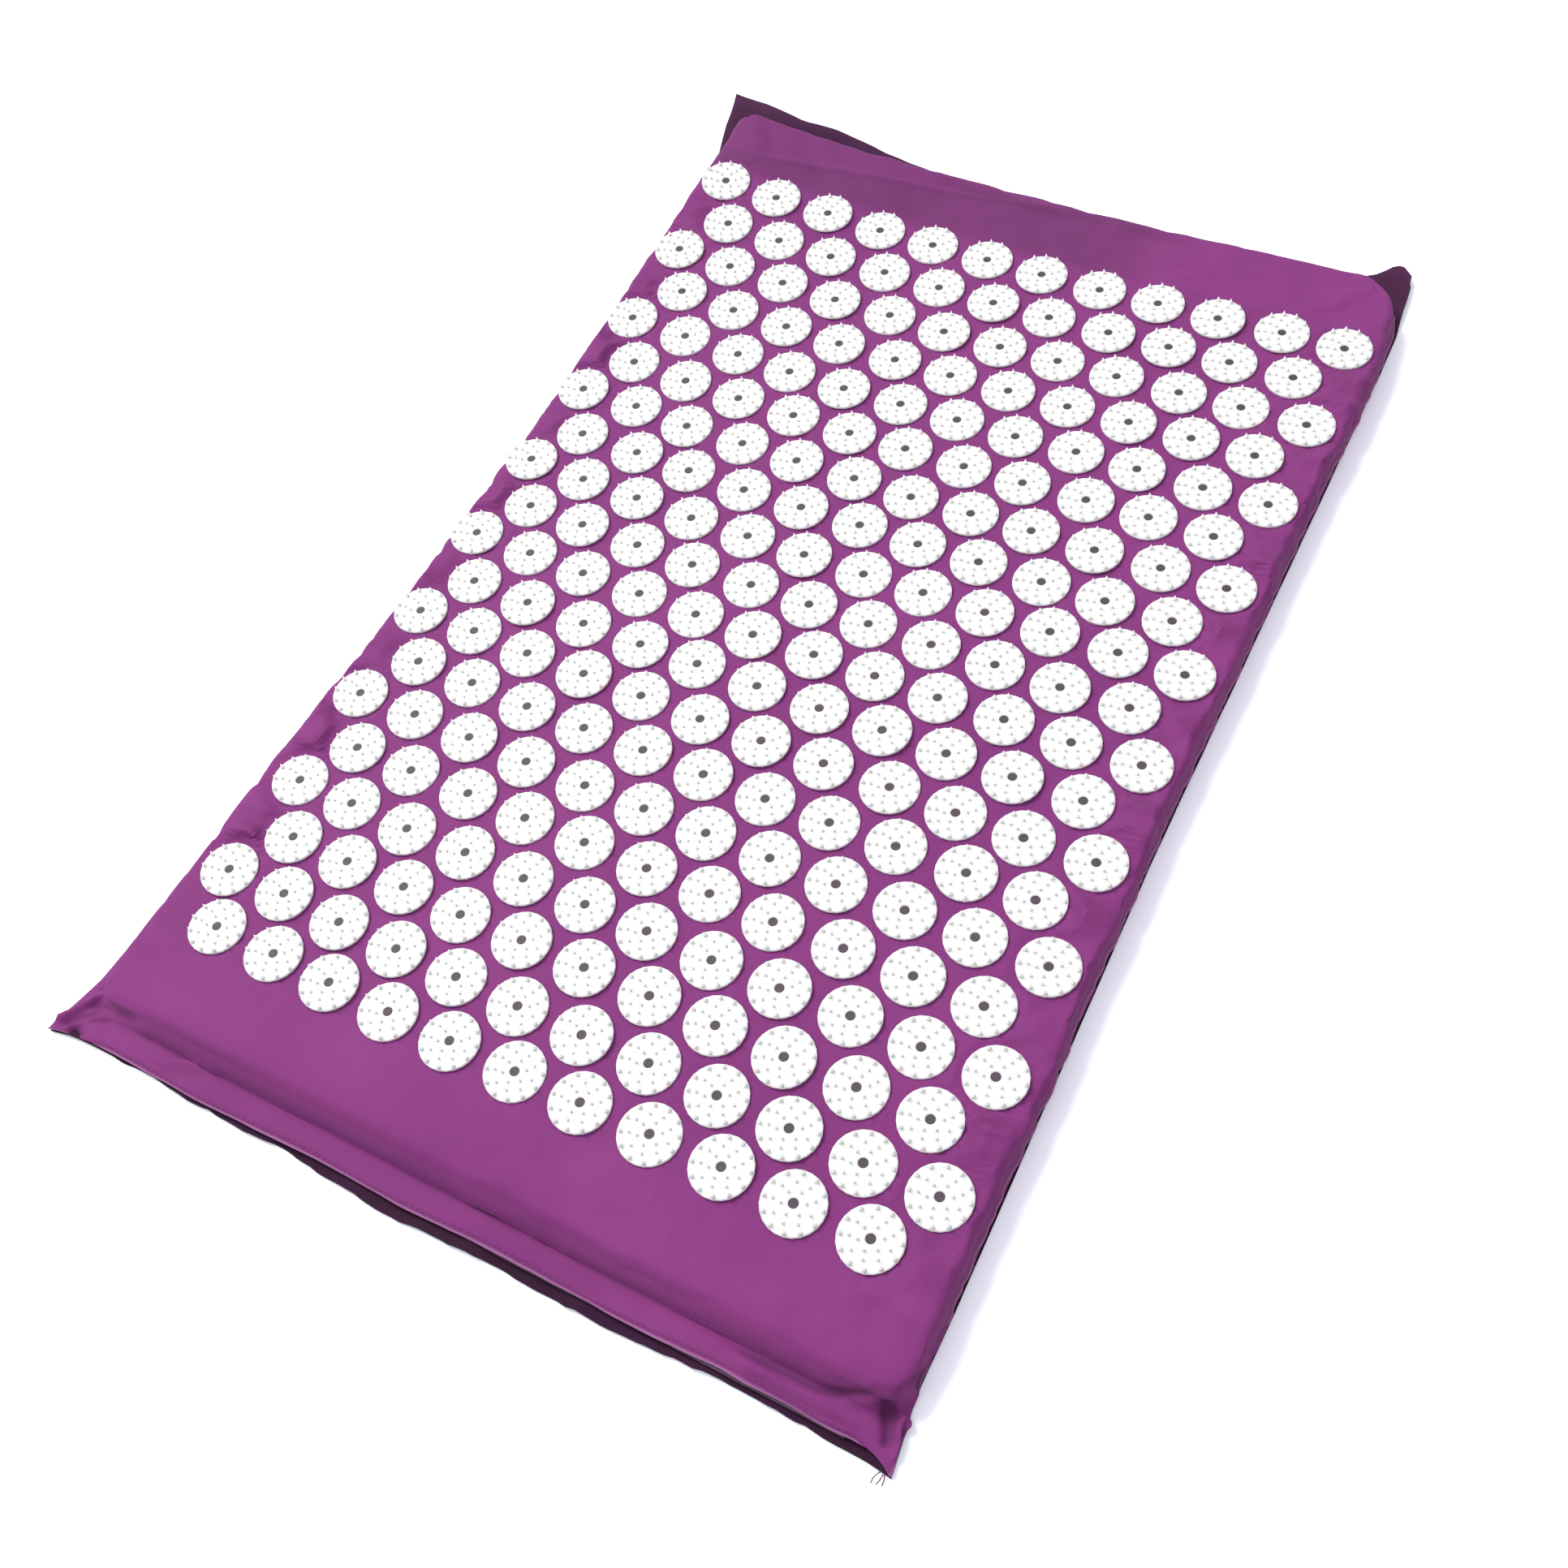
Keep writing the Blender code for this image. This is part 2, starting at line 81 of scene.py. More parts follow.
def ease(share):
    """A smooth step: three times the square of the share less twice its cube, held between 0 and 1."""
    share = np.clip(share, 0.0, 1.0)
    return share * share * (3 - 2 * share)


def mix(low, high, share):
    """A value that goes evenly from low to high as the share goes from 0 to 1."""
    return low + (high - low) * share


def curl(x, y):
    """Lift of the far left corner: the share along to the power 1.3, times the square of the share across."""
    along = np.clip((y - (cover_far - curl_long)) / curl_long, 0.0, 1.0)
    across = np.clip((curl_wide - cover_half - x) / curl_wide, 0.0, 1.0)
    return curl_height * along**1.3 * across**2


def ripples(x, y, longest, shortest, seed, count=12):
    """Unevenness of soft goods: a sum of sine waves of random direction, each as high as it is long.

    The lengths go from longest to shortest in even ratios, and the usual height of the sum is 1.
    """
    luck = np.random.default_rng(seed)
    lengths = np.geomspace(longest, shortest, count)
    total = np.zeros_like(x)
    turns = luck.uniform(0, math.pi, count)
    phases = luck.uniform(0, 2 * math.pi, count)
    for length, turn, phase in zip(lengths, turns, phases):
        travel = x * math.cos(turn) + y * math.sin(turn)
        total += length * np.sin(2 * math.pi * travel / length + phase)
    return total / math.sqrt((lengths**2).sum() / 2)


def bulge(x, y):
    """Sideways shift of the pad's edge: outwards at the near corners, and inwards at the far right one.

    The first fades evenly along the sides, and both fade inwards by a smooth step.
    """
    fade = np.clip(1 - (y - cover_near) / bulge_run, 0.0, 1.0)
    inward = ease((np.abs(x) - 0.165) / 0.027)
    far_right_in = far_right_tuck * ease((y - 0.268) / 0.020) * (x > 0)
    return (np.where(x < 0, left_bulge, right_bulge) * fade - far_right_in) * inward


def fall(x, y):
    """Lowering of the pad's top near the mouth: a square of what is left of a short run, and two bells."""
    at_end = np.clip(1 - (y - cover_near) / end_fall_run, 0.0, 1.0)
    at_corner = np.exp(-((np.abs(x) - 0.200) / 0.010)**2 - ((y - cover_near) / 0.010)**2)
    return end_fall * at_end**2 + corner_fall * at_corner


def drawn_in(x, y):
    """How far the pad's far end gives way under the pull of the curled corner, fading out to the right."""
    return far_pull * ease((-x - 0.01) / 0.10) * ease((y - 0.270) / 0.030)


def ring_lines(insets, across, along, half, near, far, near_round, far_rounds):
    """Plan places of a grid whose outer lines run as rings round a rectangle with rounded corners.

    Ring k lies insets[k] inside the outline, and a corner of it is an arc with evenly spaced turns. The inner
    points sit at the stations across and along. The far left and far right corners are rounded more by the
    square-to-disc mapping: each side's share of the corner block is multiplied by the root of one less half
    the other's square.
    """
    rings = len(insets)
    columns = 2 * rings + len(across)
    rows = 2 * rings + len(along)
    i, j = np.meshgrid(np.arange(columns), np.arange(rows))
    from_side = np.minimum(i, columns - 1 - i)
    from_end = np.minimum(j, rows - 1 - j)
    side = np.where(2 * i > columns - 1, 1.0, -1.0)
    way = np.where(2 * j > rows - 1, 1.0, -1.0)
    ring = np.minimum(np.minimum(from_side, from_end), rings)
    end = np.where(way > 0, far, near)
    inset = np.append(insets, 0.0)[ring]
    corner = (from_side < rings) & (from_end < rings)
    left = np.maximum(rings - from_end, 0) / np.maximum(rings - from_side, 1)
    right = np.maximum(rings - from_side, 0) / np.maximum(rings - from_end, 1)
    turn = np.where(from_side <= from_end, math.pi / 4 * left, math.pi / 2 - math.pi / 4 * right)
    turn = np.where(corner, turn, np.where(from_end < rings, math.pi / 2, 0.0))
    arm = near_round - inset
    station_x = across[np.clip(i - rings, 0, len(across) - 1)]
    station_y = along[np.clip(j - rings, 0, len(along) - 1)]
    plain_x = np.where(from_side < rings, side * (half - inset), station_x)
    plain_y = np.where(from_end < rings, end - way * inset, station_y)
    x = np.where(corner, side * (half - near_round + arm * np.cos(turn)), plain_x)
    y = np.where(corner, end - way * (near_round - arm * np.sin(turn)), plain_y)
    far_round = np.where(side < 0, far_rounds[0], far_rounds[1])
    block_x = np.clip((np.abs(x) - (half - far_round)) / far_round, 0.0, 1.0)
    block_y = np.where(way > 0, np.clip((y - (far - far_round)) / far_round, 0.0, 1.0), 0.0)
    pull_x = side * far_round * block_x * (1 - np.sqrt(1 - block_y**2 / 2))
    pull_y = far_round * block_y * (1 - np.sqrt(1 - block_x**2 / 2))
    return {"x": x, "y": y, "ring": ring, "turn": turn, "side": side, "way": way, "pull": (pull_x, pull_y)}


def grid_faces(rows, columns):
    """Four-cornered faces of a grid whose points are counted row by row, turned to face up."""
    j, i = np.meshgrid(np.arange(rows - 1), np.arange(columns - 1), indexing="ij")
    here = (j * columns + i).ravel()
    return np.stack([here, here + 1, here + columns + 1, here + columns], axis=1)


def block_faces(rows, columns):
    """Faces of a closed block: a grid, the same grid below it turned over, and a wall round their rim."""
    count = rows * columns
    quads = grid_faces(rows, columns)
    rim = np.concatenate([
        np.arange(columns), np.arange(2 * columns - 1, count, columns),
        np.arange(count - 2, count - columns - 1, -1), np.arange(count - 2 * columns, 0, -columns)])
    wall = np.stack([rim + count, np.roll(rim, -1) + count, np.roll(rim, -1), rim], axis=1)
    return np.concatenate([quads, quads[:, ::-1] + count, wall])


def add_piece(name, points, faces, finishes, marks=None):
    """A mesh piece, moved from the pad's centre to its place. Marks are values kept on its points."""
    mesh = bpy.data.meshes.new(name)
    mesh.from_pydata((np.asarray(points).reshape(-1, 3) + pad_place).tolist(), [], [list(f) for f in faces])
    for finish in finishes:
        mesh.materials.append(finish)
    for mark, values in (marks or {}).items():
        layer = mesh.attributes.new(mark, "FLOAT", "POINT")
        layer.data.foreach_set("value", np.ravel(values).astype(np.float32))
    mesh.shade_smooth()
    piece = bpy.data.objects.new(name, mesh)
    bpy.context.scene.collection.objects.link(piece)
    return piece


class Value:
    """A number that changes over a surface. Arithmetic on it adds Math nodes to its material."""

    def __init__(self, finish, socket):
        self.finish = finish
        self.socket = socket

    def worked(self, operation, first, second):
        return self.finish.number("ShaderNodeMath", {"operation": operation}, {0: first, 1: second})

    def __add__(self, other):
        return self.worked("ADD", self, other)

    def __radd__(self, other):
        return self.worked("ADD", other, self)

    def __sub__(self, other):
        return self.worked("SUBTRACT", self, other)

    def __rsub__(self, other):
        return self.worked("SUBTRACT", other, self)

    def __mul__(self, other):
        return self.worked("MULTIPLY", self, other)

    def __rmul__(self, other):
        return self.worked("MULTIPLY", other, self)


class Finish:
    """A material with a Principled shader, and the ways to add nodes to it."""

    def __init__(self, name, **constants):
        self.material = bpy.data.materials.new(name)
        self.material.use_nodes = True
        self.nodes = self.material.node_tree.nodes
        self.links = self.material.node_tree.links
        self.shader = self.nodes["Principled BSDF"]
        for socket, value in constants.items():
            self.shader.inputs[socket.replace("_", " ").title()].default_value = value
        self.place = self.node("ShaderNodeTexCoord", {}, {}).outputs["Object"]

    def feed(self, socket, value):
        """Link a socket to a value, or set it."""
        if isinstance(value, Value):
            self.links.new(value.socket, socket)
        elif isinstance(value, bpy.types.NodeSocket):
            self.links.new(value, socket)
        else:
            socket.default_value = value

    def node(self, kind, settings, inputs):
        """Any node: its settings first, then the values or links of its sockets."""
        made = self.nodes.new(kind)
        for name, value in settings.items():
            setattr(made, name, value)
        for key, value in inputs.items():
            self.feed(made.inputs[key], value)
        return made

    def number(self, kind, settings, inputs, output=0):
        return Value(self, self.node(kind, settings, inputs).outputs[output])

    def stretched(self, scale):
        """The place on the piece, scaled along each axis."""
        return self.node("ShaderNodeMapping", {}, {"Vector": self.place, "Scale": scale}).outputs[0]

    def noise(self, scale, detail=2.0, place=None):
        """Cloudy noise from 0 to 1, of so many clouds a metre."""
        inputs = {"Vector": place or self.place, "Scale": scale, "Detail": detail}
        return self.number("ShaderNodeTexNoise", {}, inputs, "Fac")

    def between(self, value, low, high):
        """The value's share of the way from low to high, held at both ends."""
        inputs = {"Value": value, "From Min": low, "From Max": high}
        return self.number("ShaderNodeMapRange", {}, inputs)

    def mark(self, name):
        """A value kept on the piece's points."""
        return self.number("ShaderNodeAttribute", {"attribute_name": name}, {}, "Fac")

    def blended(self, share, first, second):
        """A colour between two others."""
        made = self.node("ShaderNodeMix", {"data_type": "RGBA"}, {0: share})
        self.feed(made.inputs[6], (*first, 1.0) if isinstance(first, tuple) else first)
        self.feed(made.inputs[7], (*second, 1.0) if isinstance(second, tuple) else second)
        return made.outputs[2]

    def colour(self, socket):
        self.feed(self.shader.inputs["Base Color"], socket)

    def rough(self, value):
        self.feed(self.shader.inputs["Roughness"], value)

    def relief(self, *heights):
        """Bumps laid one on another: each is a height, its strength and its depth in metres."""
        normal = None
        for height, strength, depth in heights:
            inputs = {"Height": height, "Strength": strength, "Distance": depth}
            if normal is not None:
                inputs["Normal"] = normal
            normal = self.node("ShaderNodeBump", {}, inputs).outputs[0]
        self.feed(self.shader.inputs["Normal"], normal)


def foam_finish():
    """Cream foam: open cells as small Voronoi pits, and a slow yellowing."""
    foam = Finish("cream_foam", roughness=0.95, sheen_weight=0.15)
    cells = foam.number("ShaderNodeTexVoronoi", {}, {"Vector": foam.place, "Scale": 900.0}, "Distance")
    clouds = foam.noise(14.0, 3.0)
    foam.colour(foam.blended(clouds * 0.6 + cells * 0.4, (0.80, 0.74, 0.58), (0.66, 0.60, 0.44)))
    foam.rough(0.85 + clouds * 0.15)
    foam.relief((cells, 0.6, 0.0006), (foam.noise(60.0), 0.4, 0.0008))
    return foam.material


foam_gap = 0.0004
foam_near_round = 0.012
foam_far_rounds = (0.009, 0.031)
foam_corner_fall = 0.0068
ring_room = 0.0125
roll_turns = np.radians(np.arange(0, 91, 15))
foam_insets = foam_round * (1 - np.cos(roll_turns))
foam_across = np.linspace(-0.186, 0.186, 63)
foam_along = np.linspace(pad_near + ring_room, pad_far - ring_room, 101)
foam_lines = ring_lines(
    foam_insets, foam_across, foam_along, pad_half - foam_gap, pad_near + foam_gap, pad_far - foam_gap,
    foam_near_round, foam_far_rounds)
foam_x = foam_lines["x"] - foam_lines["pull"][0]
foam_y = foam_lines["y"] - foam_lines["pull"][1]
foam_x, foam_y = foam_x + bulge(foam_x, foam_y), foam_y - drawn_in(foam_x, foam_y)
foam_turn = np.append(roll_turns, math.pi / 2)[foam_lines["ring"]]
foam_rise = pad_thick / 2 - 0.0006 - foam_round * (1 - np.sin(foam_turn))
foam_sag = 0.00015 * ripples(foam_x, foam_y, 0.09, 0.02, 5)
foam_mid = skin + pad_thick / 2 + curl(foam_x, foam_y)
foam_corner = np.exp(-((np.abs(foam_x) - 0.206) / 0.016)**2 - ((foam_y - cover_near) / 0.016)**2)
foam_face = foam_mid + foam_rise + foam_sag * (foam_turn > 1.5) - fall(foam_x, foam_y)
foam_face -= foam_corner_fall * foam_corner
foam_top = np.stack([foam_x, foam_y, foam_face], axis=-1)
foam_under = np.stack([foam_x, foam_y, foam_mid - foam_rise], axis=-1)
foam_pad = add_piece(
    "foam_pad_soft", np.concatenate([foam_top.reshape(-1, 3), foam_under.reshape(-1, 3)]),
    block_faces(*foam_x.shape), [foam_finish()])
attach(foam_pad, "mat")
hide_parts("foam_pad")

# ---- Cover, bottom panel ----
# The darker underside of the cover, one cut of woven cotton. It lies flat under the pad, shows as a thin
# strip beside the walls and under the mouth, and ends in loose dark flaps behind the two far corners.

under_thick = 0.0003
near_round = 0.0089
far_round = 0.0209
swell_run = 0.260
ear_run = 0.045
mouth_half = 0.18795
gusset_half = 0.1722
lip_reach = 0.0178
crease_reach = 0.0041
ears = {
    (-1, -1): {"swell_x": 0.0215, "ear_x": 0.0, "ear_y": 0.0217, "gain_x": 0.006},
    (1, -1): {"swell_x": 0.006, "ear_x": 0.0, "ear_y": 0.0238, "gain_x": 0.005},
    (-1, 1): {"swell_x": 0.0, "ear_x": 0.024, "ear_y": 0.0045, "gain_x": 0.0},
    (1, 1): {"swell_x": 0.0, "ear_x": 0.0, "ear_y": 0.028, "gain_x": -0.007},
}
far_flaps = [
    (-1, [0.0, 0.005, 0.014, 0.026, 0.038, 0.056, 0.078, 0.096, 0.115, 0.150, 0.200, 0.260],
     [0.0262, 0.0255, 0.0222, 0.0200, 0.0222, 0.0205, 0.0172, 0.0150, 0.0138, 0.0095, 0.0045, 0.0]),
    (1, [0.0, 0.006, 0.013, 0.018, 0.022, 0.028, 0.035, 0.045, 0.060, 0.080],
     [0.0215, 0.0275, 0.0285, 0.0245, 0.0200, 0.0165, 0.0150, 0.0125, 0.0070, 0.0])]


def lip_edge(x):
    """Y of the upper lip's free edge: a slightly skewed line plus one long sine wave."""
    wave = 0.0008 * np.sin(3.5 * math.pi * x / mouth_half)
    return cover_near - lip_reach + 0.0013 * x / mouth_half + wave


def lower_lip_edge(x):
    """Y of the lower lip's frayed edge: past the upper lip's by a strip that widens to the right."""
    strip = 0.0005 + 0.0047 * ease((x + 0.17) / 0.16) - 0.0014 * ease((x - 0.05) / 0.10)
    fray = 0.00028 * ripples(x, x * 0.0, 0.030, 0.006, 21)
    return lip_edge(x) - strip + fray


def side_slack(side, y):
    """Reach of the cloth past a long side: the slack of its far corner plus that of its near corner.

    Each is an even swell on the long run, plus the power 1.3 of what is left of the ear's run.
    """
    reach = np.zeros_like(y)
    for (ear_side, way), ear in ears.items():
        distance = np.maximum(cover_far - y if way > 0 else y - cover_near, 0.0)
        swell = ear["swell_x"] * np.clip(1 - distance / swell_run, 0.0, 1.0)
        tip = ear["ear_x"] * np.clip(1 - distance / ear_run, 0.0, 1.0)**1.3
        reach += np.where(side == ear_side, swell + tip, 0.0)
    return reach


def far_slack(x):
    """Reach of the cloth past the far end: a smoothed line through the table of each corner's flap."""
    reach = np.zeros_like(x)
    for side, places, heights in far_flaps:
        stops = np.linspace(0.0, places[-1], 80)
        flap = np.interp(stops, places, heights)
        flap = np.convolve(np.pad(flap, 1, mode="edge"), [0.25, 0.5, 0.25], mode="valid")
        reach = reach + np.interp(np.maximum(cover_half - side * x, 0.0), stops, flap)
    return reach


def corner_value(lines, name):
    """A size of the ear at each point's own corner."""
    value = np.zeros_like(lines["x"])
    for (side, way), ear in ears.items():
        value = np.where((lines["side"] == side) & (lines["way"] == way), ear[name], value)
    return value


def spread(lines, square, share, near_share, far_share, near_line):
    """Plan places with the outline moved out from the pad's rounded corners to the cover's pointed ones.

    A point goes to the squared corner by its square share, then out by its share of the slack beside it. At
    the near end it goes by its near share out to near_line. Also gives how far into an ear each point is.
    """
    side, way, turn = lines["side"], lines["way"], lines["turn"]
    x = lines["x"] - lines["pull"][0] * (1 - square)
    y = lines["y"] - lines["pull"][1] * (1 - square)
    radius = np.where(way > 0, far_round, near_round)
    end = np.where(way > 0, cover_far, cover_near)
    centre_x = side * (cover_half - near_round)
    centre_y = end - way * near_round
    bent = (turn > 0) & (turn < math.pi / 2)
    reach = near_round / np.maximum(np.cos(turn), np.sin(turn))
    x = np.where(bent, mix(x, centre_x + side * reach * np.cos(turn), square), x)
    y = np.where(bent, mix(y, centre_y + way * reach * np.sin(turn), square), y)
    from_tip_y = np.maximum(way * (end - y), 0.0)
    from_tip_x = np.maximum(cover_half - side * x, 0.0)
    beyond_x = np.clip((side * x - (cover_half - radius)) / radius, 0.0, 1.0)
    beyond_y = np.clip((way * y - (way * end - radius)) / radius, 0.0, 1.0)
    ear_y = corner_value(lines, "ear_y")
    near_push = mix(cover_near - near_line(x), ear_y, beyond_x**3)
    end_push = np.where(way > 0, far_slack(x), near_push)
    on_side = turn <= math.pi / 4 + 1e-6
    into_ear = np.clip(1 - np.where(on_side, from_tip_y, from_tip_x) / ear_run, 0.0, 1.0)
    ear_x = corner_value(lines, "swell_x") + corner_value(lines, "ear_x")
    push_x = np.where(on_side, side_slack(side, y), ear_x * beyond_x)
    push_y = np.where(on_side, beyond_y * end_push, end_push)
    past_end = np.clip(push_y * share / np.maximum(ear_y, 1e-6), 0.0, 1.0)
    push_x = push_x + corner_value(lines, "gain_x") * beyond_x * past_end
    to_end = ease(turn / (math.pi / 2))
    end_share = np.where(way > 0, share * far_share, mix(share, near_share, to_end))
    side_share = np.where(way > 0, share * mix(1.0, far_share, into_ear), share)
    return x + side * push_x * side_share, y + way * push_y * end_share, into_ear


def weave(cloth, pitch=0.00045):
    """Plain weave: two wave textures at right angles, one for each set of yarns."""
    rate = 2 * math.pi / (20 * pitch)
    inputs = {"Vector": cloth.place, "Scale": rate, "Distortion": 0.4}
    warp = cloth.number("ShaderNodeTexWave", {"bands_direction": "X"}, inputs, "Fac")
    weft = cloth.number("ShaderNodeTexWave", {"bands_direction": "Y"}, inputs, "Fac")
    return warp * 0.5 + weft * 0.5


def cotton_finish(name, lit, deep, wear_and_highlight, sheen, gloss):
    """Dyed cotton: slow clouds of dye, faint streaks along the yarns, a fine weave, and paler edges of wear
    and painted highlight.

    Its colour is darkened by painted shade in its folds, margins and creases, and it is puckered where it is
    slack.
    """
    cloth = Finish(name, sheen_weight=sheen, sheen_roughness=0.45, sheen_tint=(0.9, 0.75, 0.9, 1.0))
    cloth.shader.inputs["Specular IOR Level"].default_value = gloss
    clouds = cloth.noise(11.0, 3.0)
    streaks = cloth.noise(1.0, 2.0, cloth.stretched((900.0, 30.0, 60.0)))
    dye = cloth.between(clouds * 0.75 + streaks * 0.25, 0.32, 0.68)
    yarns = weave(cloth)
    base = cloth.blended(dye, lit, deep)
    # Painted shade: the colour goes towards a third of the deep colour where the depth mark is high.
    shaded = cloth.blended(cloth.mark("depth"), base, tuple(0.3 * part for part in deep))
    # Wear and painted highlight: the colour goes paler where its mark is high.
    cloth.colour(cloth.blended(cloth.mark("wear_and_highlight"), shaded, wear_and_highlight))
    cloth.rough(0.66 + clouds * 0.14 + yarns * 0.06)
    crinkle = cloth.noise(70.0, 4.0, cloth.stretched((1.0, 0.7, 1.0)))
    puckers = cloth.noise(1.0, 0.0, cloth.stretched((30.0, 105.0, 30.0))) * cloth.mark("slack")
    cloth.relief((crinkle, 0.35, 0.0007), (puckers, 1.0, 0.0070), (yarns, 0.25, 0.00012))
    return cloth.material


def add_cloth(piece, thick):
    """Give a sheet its cloth thickness, inwards from its outer face, with a crisp rim at its border."""
    mesh = piece.data
    border = np.zeros(len(mesh.edges), np.int32)
    edge_of_corner = np.zeros(len(mesh.loops), np.int32)
    mesh.loops.foreach_get("edge_index", edge_of_corner)
    np.add.at(border, edge_of_corner, 1)
    crisp = mesh.attributes.new("sharp_edge", "BOOLEAN", "EDGE")
    crisp.data.foreach_set("value", border == 1)
    solid = piece.modifiers.new("cloth", "SOLIDIFY")
    solid.thickness = thick
    solid.offset = -1.0
    solid.use_even_offset = False


under_cotton = cotton_finish(
    "underside_cotton_woven", (0.062, 0.011, 0.054), (0.044, 0.008, 0.040), (0.20, 0.05, 0.17), 0.02, 0.2)
under_insets = np.array([0.0, 0.0025, 0.0055, 0.0086])
under_across = np.linspace(-mouth_half, mouth_half, 91)
under_along = np.linspace(cover_near + ring_room, cover_far - ring_room, 141)
under_lines = ring_lines(
    under_insets, under_across, under_along, cover_half, cover_near, cover_far, near_round,
    (far_round, far_round))
under_ring = np.minimum(under_lines["ring"], 4)
blunt_tip = (under_lines["side"] > 0) & (under_lines["way"] < 0)
under_square = np.array([1.0, 0.8, 0.5, 0.2, 0.0])[under_ring] * np.where(blunt_tip, 0.9, 1.0)
under_share = np.array([1.0, 0.72, 0.42, 0.15, 0.0])[under_ring]
under_x, under_y, under_ear = spread(
    under_lines, under_square, under_share, under_share, 1.0, lower_lip_edge)
under_far = np.where(under_lines["way"] > 0, 1.0, 0.0)
under_hem = under_lines["ring"] == 0
under_beside = np.where((under_lines["turn"] < 0.1) & (under_lines["side"] > 0), under_share, 0.0)
under_x = under_x + 0.0009 * under_beside * (1 - under_ear)
at_end = under_lines["turn"] > 0.8
along_flap = ease((0.15 - (cover_half + under_x)) / 0.08) * (under_lines["side"] < 0) * at_end
under_lift = under_far * under_share * np.maximum(0.0035 * under_ear, 0.0030 * along_flap)
under_lift += 0.0009 * under_hem * (1 - under_far) * at_end
under_wave = 0.0012 * under_share * (0.6 + 0.4 * ripples(under_x, under_y, 0.05, 0.014, 9))
under_z = 0.0003 + curl(under_x, under_y) + under_lift + np.maximum(under_wave, 0.0)
# Wear and painted highlight on the far hem. Painted shade: the near half of the outer strip, under the mouth
# and beside the walls, is painted darker for the shade of the cloth above it.
cover_bottom = add_piece(
    "cover_bottom_cloth", np.stack([under_x, under_y, under_z], axis=-1), grid_faces(*under_x.shape),
    [under_cotton],
    {"wear_and_highlight": 0.15 * under_hem * under_far, "depth": 0.5 * under_share * (1 - under_far)})
add_cloth(cover_bottom, under_thick)
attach(cover_bottom, "mat")
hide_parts("cover_bottom_panel")

# ---- Cover, top panel ----
# One cut of smooth purple cotton drawn over the pad, rolled over its edge and down its walls to the seam.
# The discs are bonded to it. It puckers beside them, and ends in loose ears at the near corners.

top_thick = 0.0005
softening_rounds = 24
seam_height = 0.0015
roll_round = foam_round + skin
roll_height = cover_high - roll_round
row_pitch = 0.0269
disc_pitch = 0.033
last_row = 0.25555
row_half = 0.1815
disc_radius = 0.0140
hand_error = 0.0003
drift_x = np.array([
    [-0.3, 2.1, 3.0, -6.7, -4.4, 5.7], [-1.0, -3.0, -0.8, 3.5, 3.1, -2.7],
    [-1.4, -2.5, 2.3, 2.1, -0.3, -0.2], [2.2, 1.7, -2.8, 1.2, 1.0, -2.4]])
drift_y = np.array([
    [-0.7, -4.6, -0.1, 10.6, 2.7, -4.3], [0.5, 1.1, 1.4, -0.3, -1.6, -1.0],
    [2.5, 3.1, -0.8, -4.6, -0.7, 1.4], [-1.3, -2.2, 0.5, 2.1, 0.3, 0.8]])


def hand_set_rows():
    """Centres of the discs, row by row: an even pattern, moved by a drift and by a little chance.

    The drift is in millimetres: a cubic of the share across times a fifth power of the share along.
    """
    luck = np.random.default_rng(230)
    rows = []
    for number in range(20):
        in_row = 12 - number % 2
        x = (np.arange(in_row) - (in_row - 1) / 2) * disc_pitch
        y = np.full(in_row, last_row - number * row_pitch)
        shares = x / row_half, y / last_row
        x = x + polyval2d(*shares, drift_x) * 0.001 + luck.normal(0, hand_error, in_row)
        y = y + polyval2d(*shares, drift_y) * 0.001 + luck.normal(0, hand_error, in_row)
        rows.append((x, y))
    return rows


disc_rows = hand_set_rows()


def along_line(x, y, line):
    """How far each place is from a drawn line, and where its nearest point lies on it, from 0 to 1."""
    steps = np.diff(line, axis=0)
    lengths = np.hypot(*steps.T)
    starts = np.concatenate([[0.0], np.cumsum(lengths)])
    nearest = np.full(x.shape, 1e9)
    place = np.zeros(x.shape)
    for start, step, length, gone in zip(line, steps, lengths, starts):
        share = np.clip(((x - start[0]) * step[0] + (y - start[1]) * step[1]) / length**2, 0.0, 1.0)
        away = np.hypot(x - start[0] - share * step[0], y - start[1] - share * step[1])
        closer = away < nearest
        nearest = np.where(closer, away, nearest)
        place = np.where(closer, (gone + share * length) / starts[-1], place)
    return nearest, place


def fold(x, y, line, width):
    """A fold along a drawn line: a bell across it, faded out at both its ends."""
    away, place = along_line(x, y, line)
    return np.exp(-(away / width)**2) * ease(place * 5) * ease((1 - place) * 5)


def dent(x, y, centre, radius_x, radius_y):
    """A round hollow: a bell of the distance from its centre, scaled along each axis."""
    return np.exp(-((x - centre[0]) / radius_x)**2 - ((y - centre[1]) / radius_y)**2)


band_rows = np.array([
    1.0, 0.975, 0.94, 0.89, 0.84, 0.79, 0.74, 0.68, 0.62, 0.56, 0.50, 0.44, 0.38, 0.32, 0.26, 0.20, 0.15,
    0.10, 0.05, 0.0])
wall_rings = len(band_rows) + 3
up_wall = np.arange(wall_rings) / wall_rings
wall_square = (1 - up_wall)**0.9
wall_share = (1 - up_wall)**1.45
wall_near = np.concatenate([0.19 + 0.81 * band_rows, [0.13, 0.08, 0.035]])
wall_height = mix(seam_height, roll_height, up_wall)
hem_place = 0.89
crease_share = 0.271
crease_height = 0.0055
band_heights = [
    (crease_share, crease_height), (0.31, 0.0057), (0.38, 0.0061), (0.48, 0.0063), (0.62, 0.0061),
    (0.80, 0.0055), (0.92, 0.0049), (0.97, 0.0045), (1.0, 0.0038)]


